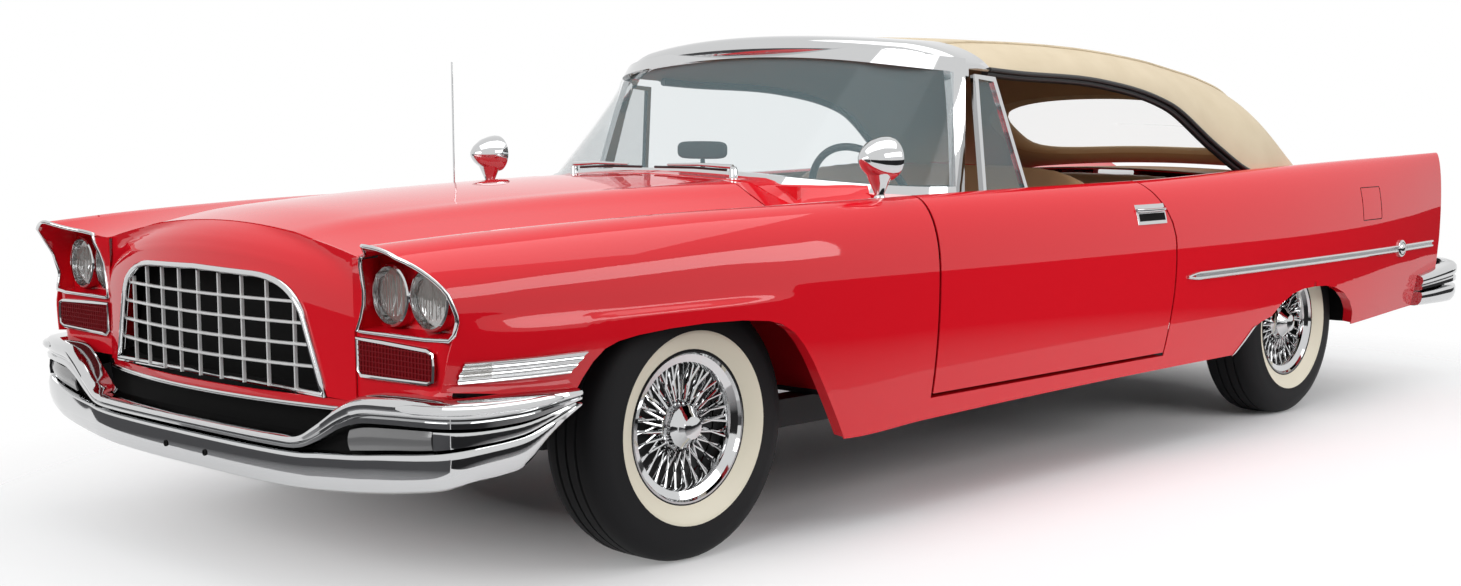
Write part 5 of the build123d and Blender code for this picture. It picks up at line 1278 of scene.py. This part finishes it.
shares = spread(0, 1, 91)
stations = station_list(*TOP_Y, 22)
top = Shape()
cloth = top_rows(stations, shares)
top.shell(cloth, 7, 0, 1, hole=lambda p: window_share(p[0], p[1]) < 1.0)
lining = Paint("top_lining", (0.50, 0.37, 0.23), 0.9)
soft = top.make("visual_soft_top", "car_body", [fabric.mat, lining.mat], ["soft_top"], 60, "top_fabric")
pane = Shape()
pane.shell([window_loop(s, 0) + window_loop(s, 0)[:1] for s in (1.0, 0.75, 0.5, 0.25, 0.02)], 3, 0, 0)
pane.make("visual_rear_window", "car_body", [clear_sheet.mat], ["rear_window"], 60, "clear_glass")
welts = Shape()
WINDOW_TAPE = [(0.91, 1), (0.93, 5), (1.08, 6), (1.12, 1), (1.08, -9), (0.93, -8)]
welts.grid([window_loop(s, h) for s, h in WINDOW_TAPE], 0, loop_u=True, loop_v=True)
for share in (0.2, 0.8):
    welts.tube([(x, y, z + 2) for x, y, z in (row[0] for row in top_rows(stations, [share]))], 5, 0, 6)
for side in (0, -1):
    welts.tube([(row[side][0], row[side][1], row[side][2] + 2) for row in cloth[6:]], 8, 1, 8)
    rail = [row[side] for row in cloth if row[side][1] < 1010]
    welts.tube([(x * 0.975, y, z - 8) for x, y, z in rail[6:]], 14, 1, 8)
welts.tube([(x, y, z + 3) for x, y, z in cloth[-1]], 7, 0, 8)
welts.make("visual_top_welts", "car_body", [fabric.mat, black.mat], (), 60, "top_fabric")

# Bright header over the front of the top
HEADER = [
    (10, -1.0), (-12, -1.02), (-28, -0.78), (-33, -0.36), (-26, 0.04), (-8, 0.2), (30, 0.24), (80, 0.22),
    (126, 0.15), (129, 0.05), (60, 0.03), (10, -0.1),
]
HEADER_DROP = (58, 20)
HEADER_HALF = 742
header = Shape()
line = []
for share in spread(0, 1, 61):
    x, y, z = top_rows([TOP_Y[0]], [share])[0][0]
    drop = HEADER_DROP[0] - HEADER_DROP[1] * (x / HEADER_HALF) ** 2
    row = []
    for d, h in HEADER:
        height = top_z(x, y + d) if d > 0 else z
        row.append((x * (1.006 if d < 60 else 1.0), y + d, height + h * drop))
    line.append(row)
header.grid(line, 0, loop_v=True)
header.cap(line[0], 0)
header.cap(line[-1], 0)
header.make("visual_header", "car_body", [chrome.mat], (), 50, "bright_metal")

# Red skirt from the foot of the windscreen down to the body, in steps y from the middle
SKIRT_TOP = 933
SKIRT_MEETS = 930
SKIRT_BACK_Y = -1000
FOOT = rows_of("y x deep", [(0, 0, -1172), (1, 250, -1158), (2, 500, -1120), (3, 640, -1036), (4, 700, -968)])


def body_top(x, y):
    """Height of the hood, cowl or fender top at a point of the plan."""
    a = abs(x)
    if a <= INNER_X:
        return hood_height(max(y, HOOD_Y[0]), a)
    row = at(BODY, y)
    return top_height(row, (a - INNER_X) / (row["crest_x"] - INNER_X))


skirt = Shape()
rows = []
for k in spread(-4, 4, 65):
    spot, ahead_spot = at(FOOT, abs(k)), at(FOOT, min(abs(k) + 0.05, 4))
    before_spot = at(FOOT, max(abs(k) - 0.05, 0))
    change = [ahead_spot[column] - before_spot[column] for column in ("x", "deep")]
    run = Vector((*change, 0)).normalized()
    out = Vector((run.y, -run.x, 0))
    row = []
    for reach, lift in ((-6, 14), (4, 10), (20, 5), (44, 2), (80, 0)):
        x, y = spot["x"] + out.x * reach, spot["deep"] + out.y * reach
        base = body_top(x, min(y, SKIRT_BACK_Y))
        z = base + lift * 0.4
        if base < SKIRT_MEETS:
            z = base + (SKIRT_TOP - base) * (1 - ease(-6, 80, reach))
        row.append((x if k >= 0 else -x, y, z + 1))
    rows.append(row)
skirt.shell(rows, 3, 0, 0, True)
skirt.make("visual_screen_skirt", "car_body", [red.mat], (), 60, "body_paint")

# Lips and inner walls of the wheel arches, the walls in near-black painted shade
arches = Shape()
for arch in (FRONT_ARCH, REAR_ARCH):
    edge = along(arch, 60)
    lip = [[(side_x(y, z) - back, y, z + lift) for y, z in edge] for back, lift in ((2, 1), (36, 5))]
    arches.shell(lip, 3, 0, 0)
WALL_BEHIND_Y = 1722
WALL_AHEAD_Y = 930
wall_xs = (600, 700, 800, 900, 912)
rear_wall = [[(x, WALL_BEHIND_Y + 14 * ease(600, 920, x), z) for z in (322, 420, 520, 640)] for x in wall_xs]
arches.shell(rear_wall, 4, 1, 1)
arches.shell([[(x, WALL_AHEAD_Y, z) for z in (400, 500, 640)] for x in (600, 780, 940)], 4, 1, 1)
arches.both().make("visual_wheel_arches", "car_body", [red.mat, painted_shade.mat], (), 40, "body_paint")


# Seats
def seat(name, pleats, *pads):
    """A bench of stuffed pads, each given by its centre, half size and lean."""
    bench = Shape()
    for centre, half, lean in pads:
        bench.cushion(centre, half, lean, pleats)
    made = bench.make("visual_" + name, "car_body", [leather.mat], [name], 60, "seat_leather")


seat("front_seat", 18, ((0, -75, 556), (684, 262, 66), 0.0), ((0, 222, 768), (684, 62, 186), 0.29))
base = Shape()
for x in (-640, 220):
    base.box((x, -290, 300), (x + 420, 140, 500))
base.make("visual_seat_base", "car_body", [black.mat], (), 30)
seat("rear_seat", 14, ((0, 910, 592), (556, 205, 48), 0.0), ((0, 1176, 752), (556, 50, 146), 0.3))

# Tan cover over the well behind the rear seat
well = Shape()
well_rows = []
for y in spread(1292, 1690, 9):
    well_rows.append([(x, y, deck_height(y, min(abs(x), INNER_X)) + 5) for x in spread(-640, 640, 21)])
well.shell(well_rows, 3, 0, 0, True)
well.make("visual_top_well", "car_body", [leather.mat], (), 60, "seat_leather")

# Wipers, and the mirror on the dash
wiper = Shape()
wiper.lathe([(13, 0), (13, 34), (9, 44), (0.5, 46)], (360, -1178, 940), (0, 0, 1), 0, 16)
wiper.tube([(360, -1180, 984), (230, -1192, 990), (90, -1188, 988)], [7, 5, 3.5], 0, 8)
wiper.tube([(330, -1176, 974), (200, -1186, 980), (30, -1186, 980)], 4, 1, 6)
wiper.both().make("visual_wipers", "car_body", [chrome.mat, black.mat], ["wipers"], 50, "bright_metal")
glance = Shape()
glance.cushion((0, -950, 1028), (108, 10, 27))
glance.tube([(0, -948, z) for z in (925, 960, 1005)], [12, 8, 7], 0, 10)
glance.make("visual_inside_mirror", "car_body", [black.mat], ["inside_mirror"], 50, "black_plastic")

# Nodes shown as modelled, with a finish only
SHOWN = [
    (red, ["sills", "cowl", "tail_panel"]),
    (chrome, ["windscreen_frame", "vent_frame_left", "vent_frame_right", "aerial"]),
    (glass, ["windscreen_glass", "vent_glass_left", "vent_glass_right"]),
    (red_lens, ["tail_lamps"]),
    (black, ["steering_wheel", "steering_column", "radiator", "dashboard"]),
    (under, ["chassis_frame", "front_suspension", "rear_axle", "leaf_springs", "propeller_shaft", "floor_pan",
             "knuckle_left", "knuckle_right"]),
    (iron, ["engine_and_gearbox"]),
    (satin, ["exhaust"]),
]
for paint, names in SHOWN:
    for name in names:
        mesh = frame["nodes"][name].data
        mesh.materials.clear()
        mesh.materials.append(paint.mat)

# Camera at the photo's place
CAMERA_AT = (4.1012, -5.0253, 1.1159)
YAW, PITCH, ROLL = (math.radians(a) for a in (44.31, 5.40, 0.318))
ahead = Vector((-math.sin(YAW) * math.cos(PITCH), math.cos(YAW) * math.cos(PITCH), -math.sin(PITCH)))
right = Vector((math.cos(YAW), math.sin(YAW), 0))
right = right * math.cos(ROLL) + ahead.cross(right) * math.sin(ROLL)
upward = right.cross(ahead)
camera = placed("Camera", bpy.data.cameras.new("Camera"))
camera.data.lens = 44.53
camera.data.sensor_width = 36
camera.matrix_world = Matrix.Translation(CAMERA_AT) @ Matrix((right, upward, -ahead)).transposed().to_4x4()
bpy.context.scene.camera = camera
bpy.context.scene.view_settings.view_transform = "Standard"

# World: white to the camera, in reflections and through glass, a soft grey room for the rest
ROOM_TONES = [
    (0.0, (0.24, 0.24, 0.25)), (0.06, (0.14, 0.14, 0.1428)), (0.22, (0.38, 0.38, 0.3876)),
    (0.30, (0.58, 0.58, 0.5916)), (1.0, (0.66, 0.67, 0.70)),
]
world = bpy.data.worlds.new("Studio")
bpy.context.scene.world = world
world.use_nodes = True
room = world.node_tree
upness = shader_node(room, "ShaderNodeTexCoord", {}, {}, "Generated").parts()[2]
room_tone = shader_node(room, "ShaderNodeValToRGB", {"stops": ROOM_TONES}, {0: upness})
white_rays = shader_node(room, "ShaderNodeLightPath", {}, {}, "Is Camera Ray")
for kind in ("Is Glossy Ray", "Is Transmission Ray"):
    white_rays = white_rays.op("MAXIMUM", shader_node(room, "ShaderNodeLightPath", {}, {}, kind))
backdrop = room.nodes["Background"]
feed(room, backdrop.inputs["Color"], white_rays.between(room_tone, (1, 1, 1)))
feed(room, backdrop.inputs["Strength"], 1.0)


def area_light(name, place, target, size, power):
    """Soft lamp at a place, turned to a target."""
    data = bpy.data.lights.new(name, "AREA")
    data.shape = "RECTANGLE"
    data.size, data.size_y = size
    data.energy = power
    obj = placed(name, data)
    obj.location = place
    obj.rotation_euler = (Vector(target) - Vector(place)).to_track_quat("-Z", "Y").to_euler()


area_light("top", (1.0, -0.5, 4.6), (0, 0, 0.5), (6.0, 3.6), 100)
area_light("side", (5.4, 1.0, 2.6), (0, 0, 0.6), (5.0, 1.6), 100)
area_light("front", (1.5, -6.2, 2.4), (0, -2, 0.6), (3.4, 1.4), 75)

# Dark screens out of the picture, which give the bright metal its dark lines
screen_dark = Paint("screen_dark", (0.03, 0.03, 0.032), 0.9)
screen_grey = Paint("screen_grey", (0.20, 0.20, 0.205), 0.9)
SCREENS = [
    ("side_screen", screen_dark, (7.5, -9, -3.0), (7.6, 44, 0.18)),
    ("front_screen", screen_grey, (-24, -9.6, -5.0), (7.5, -9.5, 0.3)),
]
for name, tone, low, high in SCREENS:
    wall = bpy.data.meshes.new(name)
    block = Shape().box(low, high)
    wall.from_pydata(block.verts, [], block.faces)
    wall.materials.append(tone.mat)
    card = placed(name, wall)
    card.visible_camera = False
    card.visible_diffuse = False
    card.visible_shadow = False

# Floor that fades into the white
floor = Paint("pale_floor", (0.93, 0.93, 0.93), 0.7)
across, lengthways, _ = floor.place().parts()
away = ((across * 0.75) ** 2.0 + (lengthways * 0.5) ** 2.0) ** 0.5
FADE = {"From Min": 0.85, "From Max": 2.0, "To Min": 1.0, "To Max": 0.0}
floor.set("Alpha", shader_node(floor.tree, "ShaderNodeMapRange", {}, {"Value": away, **FADE}))
ground = bpy.data.meshes.new("floor")
ground.from_pydata([(-9, -9, 0), (9, -9, 0), (9, 9, 0), (-9, 9, 0)], [], [(0, 1, 2, 3)])
ground.materials.append(floor.mat)
plane = placed("floor", ground)
